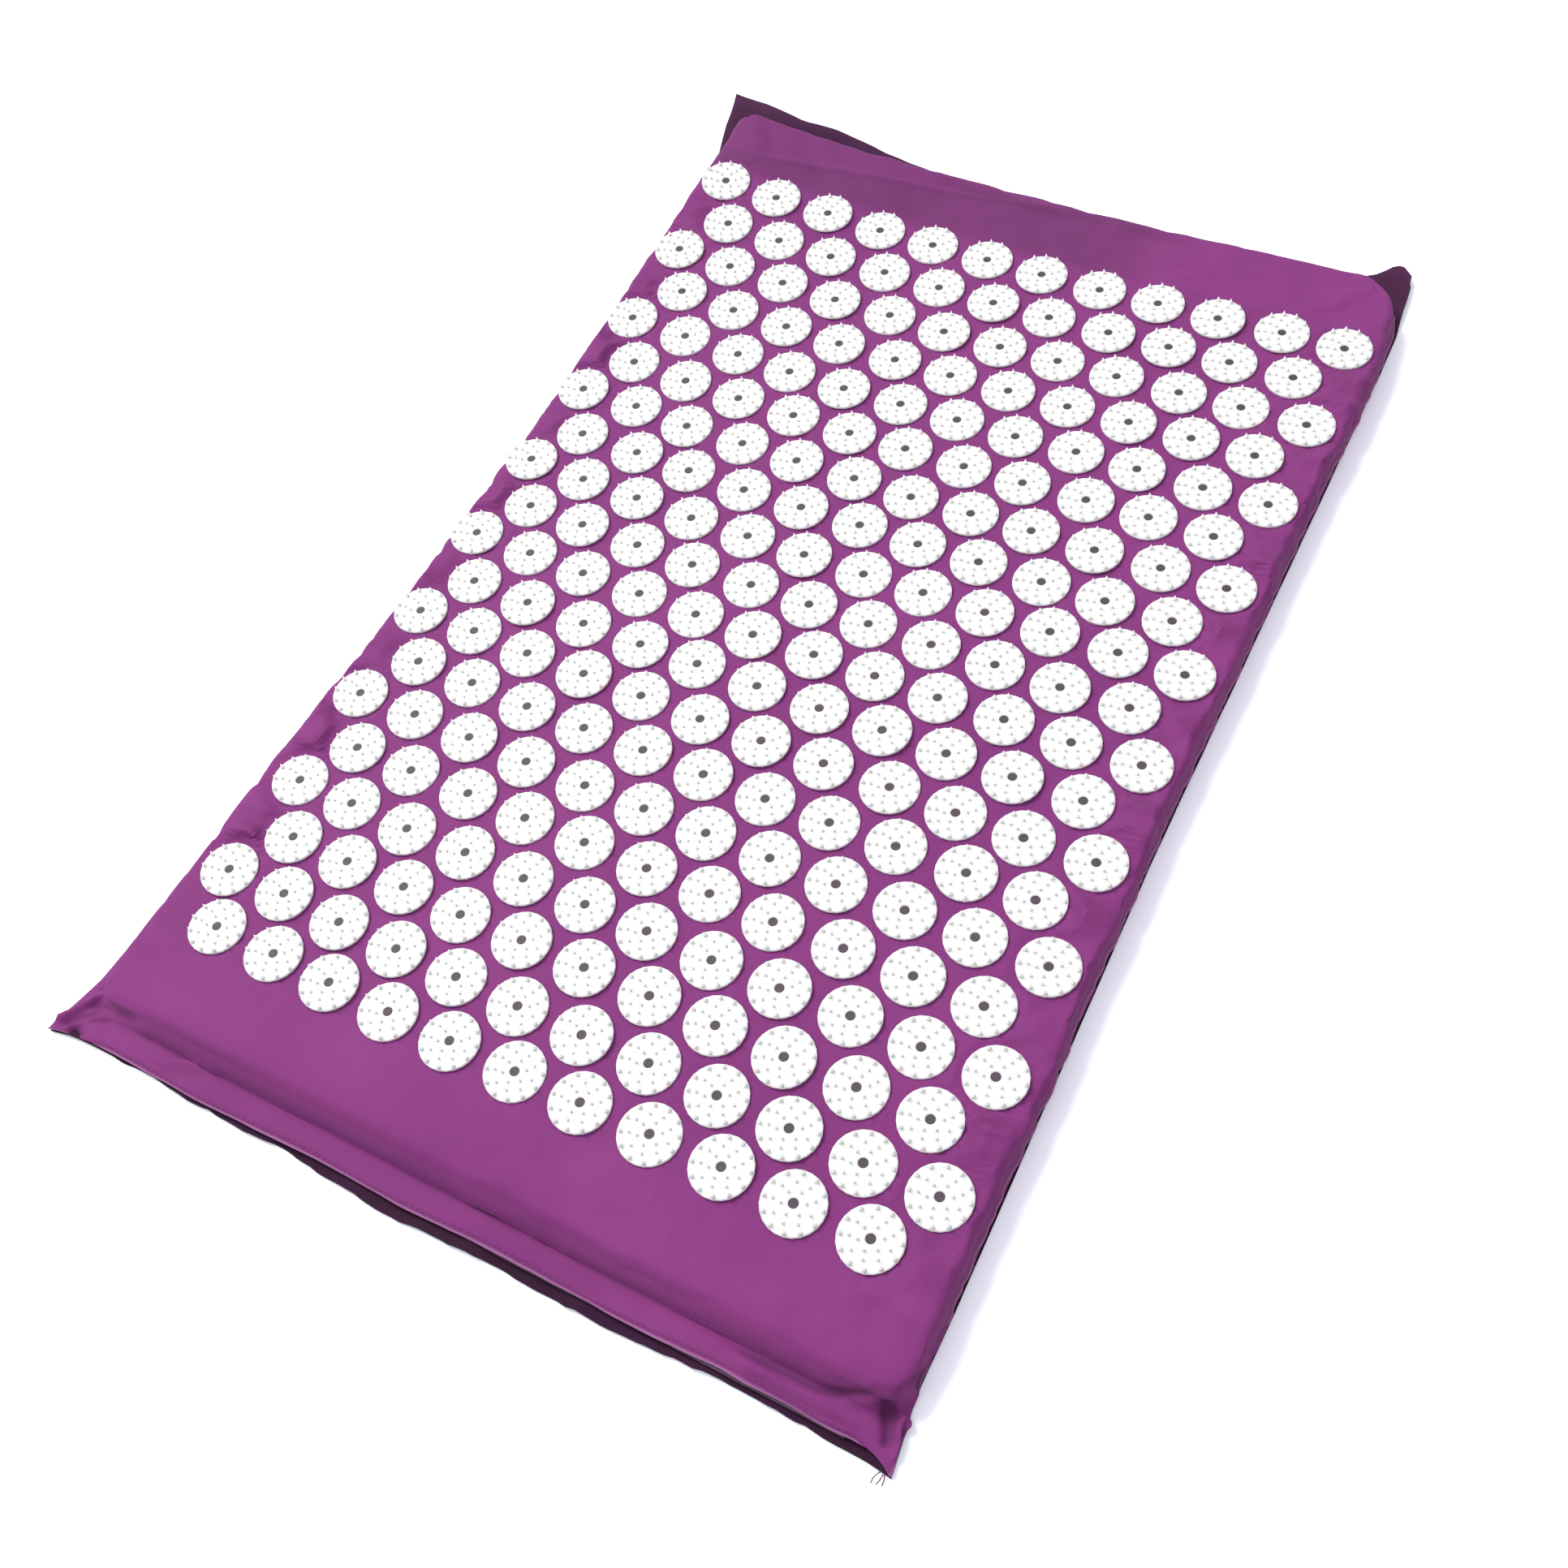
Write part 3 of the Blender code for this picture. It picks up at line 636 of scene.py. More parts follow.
def near_height(out):
    """Height of the near end at a distance out from where the pad's top ends.

    Down to the crease it is an arch: the shares out and up, each to the power 1.6, sum to one.
    """
    share = (out - roll_round) / lip_reach
    arch = np.clip(out / (roll_round + crease_share * lip_reach), 0.0, 1.0)
    arched = crease_height + (cover_high - crease_height) * (1 - arch**1.6)**(1 / 1.6)
    return np.where(share < crease_share, arched, np.interp(share, *zip(*band_heights)))


rings = wall_rings + len(roll_turns)
top_insets = np.concatenate([np.zeros(wall_rings), roll_round * (1 - np.cos(roll_turns))])
across_side = np.linspace(0.1655, mouth_half, 13)
top_across = np.concatenate([-across_side[::-1], np.linspace(-0.1613, 0.1613, 58), across_side])
top_along = np.concatenate([
    np.linspace(cover_near + 0.0090, -0.2720, 12), np.linspace(-0.2690, 0.2750, 215),
    np.linspace(0.2768, 0.3080, 18)])
top_lines = ring_lines(
    top_insets, top_across, top_along, cover_half, cover_near, cover_far, near_round, (0.0095, 0.030))


def by_ring(values):
    """A value for each point from a list of values for each ring of the wall, and 0 further in."""
    return np.append(values, np.zeros(rings + 1 - len(values)))[top_lines["ring"]]


far_right = (top_lines["side"] > 0) & (top_lines["way"] > 0)
near_right = (top_lines["side"] > 0) & (top_lines["way"] < 0)
top_square = by_ring(wall_square) * np.where(far_right, 0.1, np.where(near_right, 0.9, 1.0))
top_x, top_y, top_ear = spread(top_lines, top_square, by_ring(wall_share), by_ring(wall_near), 0.35, lip_edge)
top_end = ease(top_lines["turn"] / (math.pi / 2)) * (top_lines["way"] < 0)
held_at_end = np.clip(by_ring(wall_near) / wall_near[len(band_rows) - 1], 0.0, 1.0)
held = mix(by_ring(wall_share), held_at_end, top_end)
top_x = top_x + bulge(top_lines["x"], top_lines["y"]) * (1 - held)
top_y = top_y - drawn_in(top_lines["x"], top_lines["y"]) * (1 - held)
top_turn = np.concatenate([np.zeros(wall_rings), roll_turns, [math.pi / 2]])[top_lines["ring"]]
on_wall = top_lines["ring"] < wall_rings
up = by_ring(up_wall)
wall_low = by_ring(wall_height) * (1 - 1.6 * top_ear * up * (1 - up))
plain_z = np.where(on_wall, wall_low, roll_height + roll_round * np.sin(top_turn))
out = np.where(on_wall, roll_round + by_ring(wall_near) * lip_reach, roll_round * np.cos(top_turn))
top_z = mix(plain_z, near_height(out), top_end)
top_z = top_z - fall(top_x, top_y) * np.where(on_wall, up, 1.0)
to_corner = np.hypot(np.abs(top_x) - 0.204, top_y + 0.308)
softening = ease((0.030 - to_corner) / 0.012) * (top_lines["ring"] > 0)
for _ in range(softening_rounds):
    padded = np.pad(top_z, 1, mode="edge")
    beside_it = (padded[2:, 1:-1] + padded[:-2, 1:-1] + padded[1:-1, 2:] + padded[1:-1, :-2]) / 4
    top_z = mix(top_z, beside_it, softening)
top_z = top_z + curl(top_x, top_y)
top_base = np.stack([top_x, top_y, top_z], axis=-1)


def outward(points):
    """The way each point of a grid faces: the cross product of its steps along the rows and the columns."""
    facing = np.cross(np.gradient(points, axis=1), np.gradient(points, axis=0))
    return facing / np.maximum(np.linalg.norm(facing, axis=-1, keepdims=True), 1e-12)


def from_discs(x, y):
    """How far each place is from the centre of the nearest disc."""
    nearest = np.full(x.shape, 1.0)
    for row_x, row_y in disc_rows:
        for centre_x, centre_y in zip(row_x, row_y):
            nearest = np.minimum(nearest, np.hypot(x - centre_x, y - centre_y))
    return nearest


pinned_radius = 0.0132
most_pucker = 0.0022
settling_steps = 16
spare_cloth = 0.014
soft_cotton = {
    "quality": 5, "mass": 0.2, "tension_stiffness": 15, "compression_stiffness": 15, "shear_stiffness": 5,
    "bending_stiffness": 0.05, "tension_damping": 5, "compression_damping": 5, "air_damping": 2,
    "vertex_group_mass": "held", "vertex_group_shrink": "taut", "shrink_min": -spare_cloth, "shrink_max": 0.0}


def settled(points, held, taut):
    """Points of a grid of cloth after a short cloth simulation: held points stay, and slack ones buckle.

    Where it isn't taut the cloth is longer than the grid. A small unevenness starts the folds.
    """
    unevenness = 0.0004 * ripples(points[..., 0], points[..., 1], 0.05, 0.012, 77)
    start = points + outward(points) * np.abs(unevenness)[..., None]
    mesh = bpy.data.meshes.new("settling_cloth")
    mesh.from_pydata(start.reshape(-1, 3).tolist(), [], grid_faces(*held.shape).tolist())
    cloth = bpy.data.objects.new("settling_cloth", mesh)
    bpy.context.scene.collection.objects.link(cloth)
    cloth.vertex_groups.new(name="held").add(np.flatnonzero(held).tolist(), 1.0, "REPLACE")
    levels = np.round(taut * 10).ravel()
    taut_group = cloth.vertex_groups.new(name="taut")
    for level in range(1, 11):
        taut_group.add(np.flatnonzero(levels == level).tolist(), level / 10, "REPLACE")
    simulated = cloth.modifiers.new("cloth", "CLOTH")
    simulated.point_cache.frame_end = settling_steps
    simulated.collision_settings.use_collision = False
    for setting, value in soft_cotton.items():
        setattr(simulated.settings, setting, value)
    simulated.settings.effector_weights.gravity = 0.0
    for frame_number in range(1, settling_steps + 1):
        bpy.context.scene.frame_set(frame_number)
    after = np.empty(points.size)
    cloth.evaluated_get(bpy.context.evaluated_depsgraph_get()).data.vertices.foreach_get("co", after)
    bpy.data.objects.remove(cloth)
    bpy.context.scene.frame_set(1)
    return after.reshape(points.shape)


plan_x = top_lines["x"]
plan_y = top_lines["y"]
disc_away = from_discs(top_x, top_y)
lip_share = by_ring(wall_near) * top_end
beside = ease((np.abs(plan_x) - 0.160) / 0.02) * ease((0.284 - np.abs(plan_y + 0.006)) / 0.02)
seam_ring = top_lines["ring"] == 0
top_held = (disc_away < pinned_radius) | seam_ring | (on_wall & (top_end > 0.5) & (lip_share > 0.1))
facing = outward(top_base)
moved = settled(top_base, top_held, 0.9 - 0.9 * beside) - top_base

# The puckers are kept small, smaller still round the discs, and weak in the calm near left corner.
calm = 1 - 0.8 * ease((-0.225 - plan_y) / 0.030) * (plan_x < 0)
moved = moved * calm[..., None]
moved_out = (moved * facing).sum(axis=-1)
moved_aside = moved - moved_out[..., None] * facing
moved_out = np.clip(moved_out, -0.0006, np.where(disc_away < disc_radius + 0.0015, 0.0003, most_pucker))

inner = 1 - top_end
flat_share = ease((top_lines["ring"] - wall_rings) / 6.0)
seam_ridge = np.exp(-((up - 0.32) / 0.06)**2) * inner * on_wall * (top_lines["turn"] < 0.2)
top_rise = 0.0003 * ripples(plan_x, plan_y, 0.16, 0.05, 11) * flat_share * (disc_away > 0.0145)
top_rise += 0.0009 * seam_ridge

# Folds in millimetres: the points of their lines, their heights and their widths. Then hollows: their
# centres, heights and two radii.
drawn_folds = [
    ([(130, -311.8), (150, -311.8), (170, -311.2), (180.8, -309),
      (187.9, -306), (194.1, -302.9), (200, -302)], -2.0, 1.4),
    ([(205, -285), (203.9, -292.5), (201.3, -296.7), (198.5, -303)], -1.8, 1.3),
    ([(196, -304), (198.5, -308.5), (201, -313), (203.5, -320)], -2.6, 2.2),
    ([(203, -304), (203.8, -310), (206.1, -314.6), (208.3, -322.5)], 3.0, 1.1),
    ([(205, -308), (207.4, -315.6), (209, -324)], -1.6, 1.0),
    ([(198.5, -302), (205.4, -306.9), (208.7, -312.8), (210.4, -321)], 2.8, 1.2),
    ([(135, -318), (160, -318.6), (172, -318.6), (184.5, -317.5), (197.5, -317.6)], -1.2, 1.2),
    ([(135, -320.2), (160, -320.8), (172, -320.8), (184.5, -319.8), (197.5, -320)], 1.2, 1.2),
    ([(-221, -311.5), (-206, -307.2), (-178, -307)], -0.9, 1.7),
    ([(-227, -324.2), (-218, -314), (-209, -300)], 3.4, 1.4),
    ([(-219, -324.8), (-210, -315), (-196, -308.5)], 2.2, 1.3),
    ([(-222.5, -323.5), (-212, -315), (-205, -308)], -1.6, 1.4),
    ([(-166.5, -324), (-161, -316), (-153, -312.2), (-135, -309.5)], 2.0, 1.2),
    ([(-157, -323.2), (-150, -316.5), (-138, -312.5)], -1.2, 1.3),
    ([(-195, 281.5), (-125.4, 292.6), (-72.1, 299.5), (-21.5, 305.5), (30, 312)], 1.7, 1.6)]
hollows = [((198.5, -307), -2.6, 4.5, 4.2), ((-212.5, -322.8), -3.0, 5.0, 2.4)]
# Painted shade: the grooves and hollows are also painted darker, for the shade that falls in them.
fold_shade = np.zeros_like(top_x)
for line, height, width in drawn_folds:
    bell = fold(top_x, top_y, np.array(line) * 0.001, width * 0.001)
    top_rise += height * 0.001 * bell
    fold_shade = np.maximum(fold_shade, np.clip(-height / 2, 0.0, 1.0) * bell)
for centre, height, radius_x, radius_y in hollows:
    bell = dent(top_x * 1000, top_y * 1000, centre, radius_x, radius_y)
    top_rise += height * 0.001 * bell
    fold_shade = np.maximum(fold_shade, bell)

on_band = np.clip(lip_share * 4 - 0.8, 0.0, 1.0) * on_wall
long_waves = 0.0003 * ripples(top_x, top_y * 0.6, 0.07, 0.02, 31)
long_waves += 0.0004 * np.sin(2 * math.pi * top_x / 0.11 + 0.6)
hem_share = by_ring(np.append(band_rows, [0, 0, 0])) * top_end
hem_groove = np.exp(-((hem_share - hem_place) / 0.035)**2) * on_band
top_rise += on_band * long_waves - 0.0004 * hem_groove

# Painted shade: how dark the cloth is painted, the strongest of the shades in its folds, its margins, on the
# far right wall and between the discs.
far_wall_shade = on_wall * far_right * ease((top_y - 0.265) / 0.03) * (up < 0.8)
shade_among_discs = ease((0.196 - np.abs(plan_x)) / 0.004) * ease((plan_y + 0.268) / 0.004)
shade_among_discs *= ease((0.276 - plan_y) / 0.004)
shade_past_crease = ease((top_y - 0.3090 - 0.135 * top_x) / 0.005) * ease((0.05 - top_x) / 0.09) * (1 - on_wall)
far_margin_shade = ease((top_y - 0.264) / 0.012) * ease((0.095 - top_x) / 0.060) * (1 - on_wall)
far_shade = np.array([
    (-0.0950, 0.3080), (-0.0598, 0.3095), (-0.0352, 0.3070), (-0.0094, 0.3048), (0.0091, 0.3072),
    (0.0271, 0.3094), (0.0483, 0.3096), (0.0631, 0.3088), (0.0900, 0.3080)])
lip_crease_shade = top_end * np.exp(-((lip_share - 0.285) / 0.022)**2) * on_wall
depth = np.maximum.reduce([
    0.6 * fold_shade, 0.35 * far_wall_shade, 0.07 * on_band, 0.10 * shade_among_discs, 0.30 * shade_past_crease,
    0.40 * far_margin_shade * (1 - shade_past_crease), 0.52 * fold(top_x, top_y, far_shade, 0.0055),
    0.42 * lip_crease_shade, 0.45 * hem_groove])

top_rise = np.where(on_wall, top_rise, np.maximum(top_rise, -0.0004 - np.minimum(moved_out, 0.0)))
still = np.where(seam_ring & (top_end < 0.5), 0.3, 1.0)
top_points = top_base + moved_aside + facing * (moved_out + top_rise * still)[..., None]
over_tape = (lip_share > 0.26) & (lip_share < 0.985) & (np.abs(top_x) < 0.1895)
top_points[..., 2] = np.maximum(top_points[..., 2], np.where(over_tape, 0.0045, 0.0011))

rows, columns = top_x.shape
# Wear and painted highlight: paler along the seam ring, the lip's free edge and the seam ridge, where the
# edges catch light.
wear_and_highlight_edge = 0.55 * seam_ring * inner + 0.8 * ease((hem_share - 0.94) / 0.05)
wear_and_highlight_edge = np.maximum(wear_and_highlight_edge, 0.6 * seam_ridge * (to_corner > 0.040))
slackness = ease((disc_away - 0.0150) / 0.0080) * beside * calm
slackness *= 0.35 + 0.65 * ease(0.7 * ripples(plan_x, plan_y, 0.08, 0.03, 5) + 0.4)
top_cotton = cotton_finish(
    "purple_cotton_woven", (0.265, 0.036, 0.222), (0.222, 0.029, 0.194), (0.50, 0.23, 0.45), 0.08, 0.35)
all_quads = grid_faces(rows, columns).reshape(rows - 1, columns - 1, 4)
lip_rows = len(band_rows) - 1
first = rings
last = rings + len(top_across) - 1
left_gusset = first + int(np.searchsorted(top_across, -gusset_half))
right_gusset = first + int(np.searchsorted(top_across, gusset_half))
is_lip = np.zeros((rows - 1, columns - 1), bool)
is_lip[:lip_rows, first:last] = True


def cut_of_cover(name, chosen):
    """A piece of the cover's grid: the chosen faces, with only the points they use."""
    quads = all_quads[chosen]
    kept = np.unique(quads)
    renumber = np.full(rows * columns, -1)
    renumber[kept] = np.arange(len(kept))
    # The marks carry each point's wear and painted highlight, its painted shade and its slack.
    piece = add_piece(
        name, top_points.reshape(-1, 3)[kept], renumber[quads], [top_cotton],
        {"wear_and_highlight": wear_and_highlight_edge.ravel()[kept], "depth": depth.ravel()[kept], "slack": slackness.ravel()[kept]})
    add_cloth(piece, top_thick)
    return piece


cover_top = cut_of_cover("cover_top_cloth", ~is_lip)
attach(cover_top, "mat")
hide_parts("cover_top_panel")

# ---- Upper lip ----
# The near end of the top panel, hemmed, which covers the mouth of the cover and lifts to open it.
# Its two ends are sewn shut.

hinge_y = cover_near - crease_reach - 0.00015
column = np.broadcast_to(np.arange(columns - 1), is_lip.shape)
upper_lip = cut_of_cover("upper_lip_cloth", is_lip & (column >= left_gusset) & (column < right_gusset))
left_end = cut_of_cover("upper_lip_left_end", is_lip & (column < left_gusset))
right_end = cut_of_cover("upper_lip_right_end", is_lip & (column >= right_gusset))
gusset_x = {-1: top_across[left_gusset - first], 1: top_across[right_gusset - first]}


def follow_flap(piece):
    """Bake the place of a piece of the lip into its points."""
    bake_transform(piece)


follow_flap(upper_lip)
follow_flap(left_end)
follow_flap(right_end)
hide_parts("upper_lip")

# ---- Closure tapes ----
# A woven tape with a pile of hooks is sewn to the lower lip, and one with a pile of loops under the upper
# lip. Both run the length of the mouth and hold it shut.

tape_wide = 0.0127
tape_far = hinge_y - 0.0008
tape_near = tape_far - tape_wide
tape_half = 0.18665
hook_low = 0.0009
loop_low = 0.0024


def tape_finish():
    """Dark tape: matted pile as fine noise, laid over a ribbed woven base."""
    tape = Finish("hook_and_loop_pile", sheen_weight=0.3, sheen_roughness=0.6)
    tufts = tape.noise(1600.0, 3.0)
    ribs = weave(tape, 0.0008)
    tape.colour(tape.blended(tufts, (0.045, 0.018, 0.050), (0.110, 0.045, 0.115)))
    tape.rough(0.8 + tufts * 0.15)
    tape.relief((ribs, 0.3, 0.0002), (tufts, 0.7, 0.0004))
    return tape.material


def tape_strip(name, low, direction, finish, seed, x_from, x_to):
    """A stretch of tape: a flat base, and a pile that rises inside its selvedge by smooth steps."""
    along = np.linspace(x_from, x_to, round((x_to - x_from) / 0.0015))
    x, share = np.meshgrid(along, np.linspace(0, 1, 19))
    y = mix(tape_near, tape_far, share)
    inner = ease((0.5 - np.abs(share - 0.5)) / 0.16) * ease((tape_half - np.abs(x)) / 0.002)
    tufts = 0.5 + 0.5 * ripples(x, y, 0.0035, 0.0022, seed)
    pile = 0.0005 + (0.00055 + 0.00012 * np.clip(tufts, 0.0, 1.0)) * inner
    face = np.stack([x, y, pile], axis=-1).reshape(-1, 3)
    back = np.stack([x, y, np.zeros_like(x)], axis=-1).reshape(-1, 3)
    points = np.concatenate([face, back])
    points[:, 2] = low + (points[:, 2] if direction > 0 else 0.0012 - points[:, 2])
    faces = block_faces(*x.shape)
    return add_piece(name, points, faces if direction > 0 else faces[:, ::-1], [finish])


tape_material = tape_finish()
hook_tape = tape_strip("hook_tape_pile", hook_low, 1, tape_material, 41, -tape_half, tape_half)
loop_tape = tape_strip("loop_tape_pile", loop_low, -1, tape_material, 42, gusset_x[-1], gusset_x[1])
for tape, body, node in ((hook_tape, "mat", "hook_tape"), (loop_tape, "mouth_flap", "loop_tape")):
    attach(tape, body)
    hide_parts(node)
for name, side in (("loop_tape_left_end", -1), ("loop_tape_right_end", 1)):
    reach = sorted((gusset_x[side], side * tape_half))
    tape_end = tape_strip(name, loop_low, -1, tape_material, 42, *reach)
    follow_flap(tape_end)

# ---- Sewing ----
# Purple thread: a row of stitches along the lip's hem, the box stitching of the tapes, the seam inside the
# cover's edge, and two close-sewn tacks that end the mouth. Each stitch dives into the cloth at both ends.

thread_radius = 0.00018
hem_pitch = 0.0028
hem_half = 0.1872
box_half = 0.185
hook_top = 0.00165
selvedge = 0.0009
seam_inset = 0.003
seam_level = 0.00115
seam_pitch = 0.0027
tack_out = 0.0024
tack_start = 0.0028
tack_step = 0.0004
tack_low = 0.0014
tack_high = 0.0042
tack_radius = 0.00022


def thread_finish(name, pale, deep):
    """Twisted thread: fine slanting bands, with painted shade between the plies."""
    thread = Finish(name, sheen_weight=0.1, sheen_roughness=0.4)
    plies = thread.number(
        "ShaderNodeTexWave", {"bands_direction": "DIAGONAL"},
        {"Vector": thread.place, "Scale": 900.0, "Distortion": 1.0}, "Fac")
    fibre = thread.noise(500.0)
    thread.colour(thread.blended(plies * 0.7 + fibre * 0.3, deep, pale))
    thread.rough(0.6 + fibre * 0.2)
    thread.relief((plies, 0.5, 0.0001))
    return thread.material


def tube_faces(rings, sides):
    """Faces of a closed tube: its walls from ring to ring, and a cap at each end."""
    first, second = np.meshgrid(np.arange(rings - 1), np.arange(sides), indexing="ij")
    here = (first * sides + second).ravel()
    after = (first * sides + (second + 1) % sides).ravel()
    walls = np.stack([here, here + sides, after + sides, after], axis=1).tolist()
    return walls + [list(range(sides)), [rings * sides - 1 - k for k in range(sides)]]


def copied(faces, points_each, count):
    """Faces of a shape for so many copies of it, whose points follow one another."""
    return [[point + k * points_each for point in face] for k in range(count) for face in faces]


def across_and_up(headings):
    """Unit headings of lines, with the ways across and up from them, by cross products with the upright."""
    headings = headings / np.linalg.norm(headings, axis=1, keepdims=True)
    side = np.cross(np.array([0.0, 0.0, 1.0]), headings)
    side /= np.linalg.norm(side, axis=1, keepdims=True)
    return headings, side, np.cross(headings, side)


def stitches(middles, headings, lengths, radius):
    """Stitches as small bent tubes: four rings of six points, thin and low at the ends, at each place."""
    along = np.array([-0.5, -0.3, 0.3, 0.5])
    girth = np.array([0.35, 1.0, 1.0, 0.35])[:, None]
    dip = np.array([-1.1, 0.0, 0.0, -1.1])[:, None]
    turns = np.arange(6) * math.pi / 3
    headings, side, up = across_and_up(headings)
    forward = (along * lengths[:, None])[..., None, None]
    across = (girth * np.cos(turns) * radius)[..., None]
    rise = ((girth * np.sin(turns) + dip) * radius)[..., None]
    points = (middles[:, None, None] + forward * headings[:, None, None] + across * side[:, None, None]
              + rise * up[:, None, None])
    return points.reshape(-1, 3), copied(tube_faces(4, 6), 24, len(middles))


def sewn_line(line, pitch, spacing=0.72):
    """Middles, headings and lengths of stitches set evenly along a line of points."""
    line = np.asarray(line, float)
    lengths = np.linalg.norm(np.diff(line, axis=0), axis=1)
    gone = np.concatenate([[0.0], np.cumsum(lengths)])
    count = max(2, round(gone[-1] / pitch))
    marks = np.linspace(0.0, gone[-1], count + 1)
    places = np.stack([np.interp(marks, gone, line[:, axis]) for axis in range(3)], axis=1)
    middles = (places[1:] + places[:-1]) / 2
    headings = places[1:] - places[:-1]
    return middles, headings, np.linalg.norm(headings, axis=1) * spacing


def sewing(name, lines, pitch, radius, finish):
    """A piece of sewing: the stitches of several lines in one mesh."""
    parts = [sewn_line(line, pitch) for line in lines]
    points, faces = stitches(*[np.concatenate(column) for column in zip(*parts)], radius)
    return add_piece(name, points, faces, [finish])


def lip_line(x_from, x_to, share, count):
    """A line across the lip at one share of its width, read off the cover's grid and laid on the cloth."""
    x = np.linspace(x_from, x_to, count)
    strip = top_points[:lip_rows + 1, first:last + 1]
    level = np.interp(share, band_rows[::-1], np.arange(lip_rows + 1)[::-1])
    low_row = int(level)
    line = mix(strip[low_row], strip[min(low_row + 1, lip_rows)], level - low_row)
    y, z = (np.interp(x, line[:, 0], line[:, axis]) for axis in (1, 2))
    return np.stack([x, y, z + thread_radius], axis=1)


def sewn_to_mat(name, node, lines, pitch, radius=thread_radius):
    """Sewing that stays with the mat, in place of a thread of the frame."""
    piece = sewing(name, lines, pitch, radius, purple_thread)
    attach(piece, "mat")
    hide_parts(node)


purple_thread = thread_finish("purple_thread", (0.30, 0.060, 0.26), (0.17, 0.030, 0.15))
hem_line = lip_line(gusset_x[-1], gusset_x[1], hem_place, 200)
hem_thread = sewing("hem_stitches", [hem_line], hem_pitch, thread_radius, purple_thread)
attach(hem_thread, "mouth_flap")
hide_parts("loop_tape_stitching")
for name, side in (("hem_stitches_left_end", -1), ("hem_stitches_right_end", 1)):
    end_line = lip_line(*sorted((gusset_x[side], side * hem_half)), hem_place, 12)
    ends = sewing(name, [end_line], hem_pitch, thread_radius, purple_thread)
    follow_flap(ends)

hook_box = [
    [(side * box_half, y, hook_top), (-side * box_half, y, hook_top)]
    for side, y in ((-1, tape_near + selvedge), (1, tape_far - selvedge))]
sewn_to_mat("hook_tape_stitches", "hook_tape_stitching", hook_box, 0.003)

seam_y = np.linspace(cover_near + ear_run, cover_far - ear_run, 60)
seam_x = np.linspace(-(cover_half - ear_run), cover_half - ear_run, 40)
far_run = cover_far - seam_inset + far_slack(seam_x)
for side, word in ((-1, "left"), (1, "right")):
    run = side * (cover_half - seam_inset + side_slack(np.full_like(seam_y, side), seam_y))
    line = np.stack([run, seam_y, seam_level + curl(run, seam_y)], axis=1)
    sewn_to_mat(f"{word}_seam_stitches", f"{word}_seam_thread", [line], seam_pitch)
far_line = np.stack([seam_x, far_run, seam_level + curl(seam_x, far_run)], axis=1)
sewn_to_mat("far_seam_stitches", "far_seam_thread", [far_line], seam_pitch)

tack_turns = np.arange(21)
tack_y = cover_near - crease_reach - tack_start - tack_turns * tack_step
tack_z = np.where(tack_turns % 2, tack_low, tack_high)
for side, word in ((-1, "left"), (1, "right")):
    tack_x = np.full(len(tack_turns), side * (mouth_half + tack_out))
    tack_line = np.stack([tack_x, tack_y, tack_z], axis=1)
    sewn_to_mat(f"{word}_tack", f"{word}_mouth_tack", [tack_line], tack_high - tack_low, tack_radius)

# ---- Spiked discs ----
# White moulded plastic, 28 mm across, with 27 pointed spikes in three rings round a small centre hole. They
# are bonded to the cloth in 20 rows of 12 and 11 by turns, set by hand, so that no two lie quite alike.

hole_radius = 0.0022
plate_thick = 0.0013
bevel = 0.0003
bead_level = 0.0007
rim_sides = 24
spike_sides = 5
# Rings of spikes: the radius, the number, the turn of the first, and each spike's height and foot radius.
spike_rings = (
    (0.01255, 12, 0.0, 0.0031, 0.0012), (0.00880, 9, 0.35, 0.0024, 0.0008), (0.00525, 6, 0.2, 0.0024, 0.0008))
disc_low = 0.0202
lean = 0.008
slope_step = 0.005


def disc_finish():
    """White satin plastic: faintly cloudy, with a fine moulded grain, and its spikes painted whiter as
    painted light.
    """
    plastic = Finish("white_disc_plastic_satin", subsurface_weight=0.5, subsurface_scale=0.0025)
    plastic.shader.inputs["Subsurface Radius"].default_value = (1.0, 1.0, 1.0)
    clouds = plastic.noise(120.0, 2.0)
    plate = plastic.blended(clouds, (0.90, 0.90, 0.91), (0.92, 0.92, 0.93))
    # Painted light: the spikes are painted whiter than the plate, to even out their shaded sides.
    plastic.colour(plastic.blended(plastic.mark("thin"), plate, (1.0, 1.0, 1.0)))
    plastic.rough(0.32 + clouds * 0.16)
    plastic.relief((plastic.noise(900.0), 0.12, 0.0001))
    return plastic.material


def bond_finish():
    """Dull grey-violet bead of hot glue that fills the hole of a disc, coloured dark as painted shade of the
    hole.
    """
    bond = Finish("glue_bead_and_hole_shade", roughness=0.6)
    clouds = bond.noise(700.0, 2.0)
    # Painted shade: the bead is coloured dark for the shade in the disc's hole.
    bond.colour(bond.blended(clouds, (0.045, 0.032, 0.045), (0.100, 0.070, 0.100)))
    bond.rough(0.45 + clouds * 0.3)
    bond.relief((clouds, 0.4, 0.0003))
    return bond.material


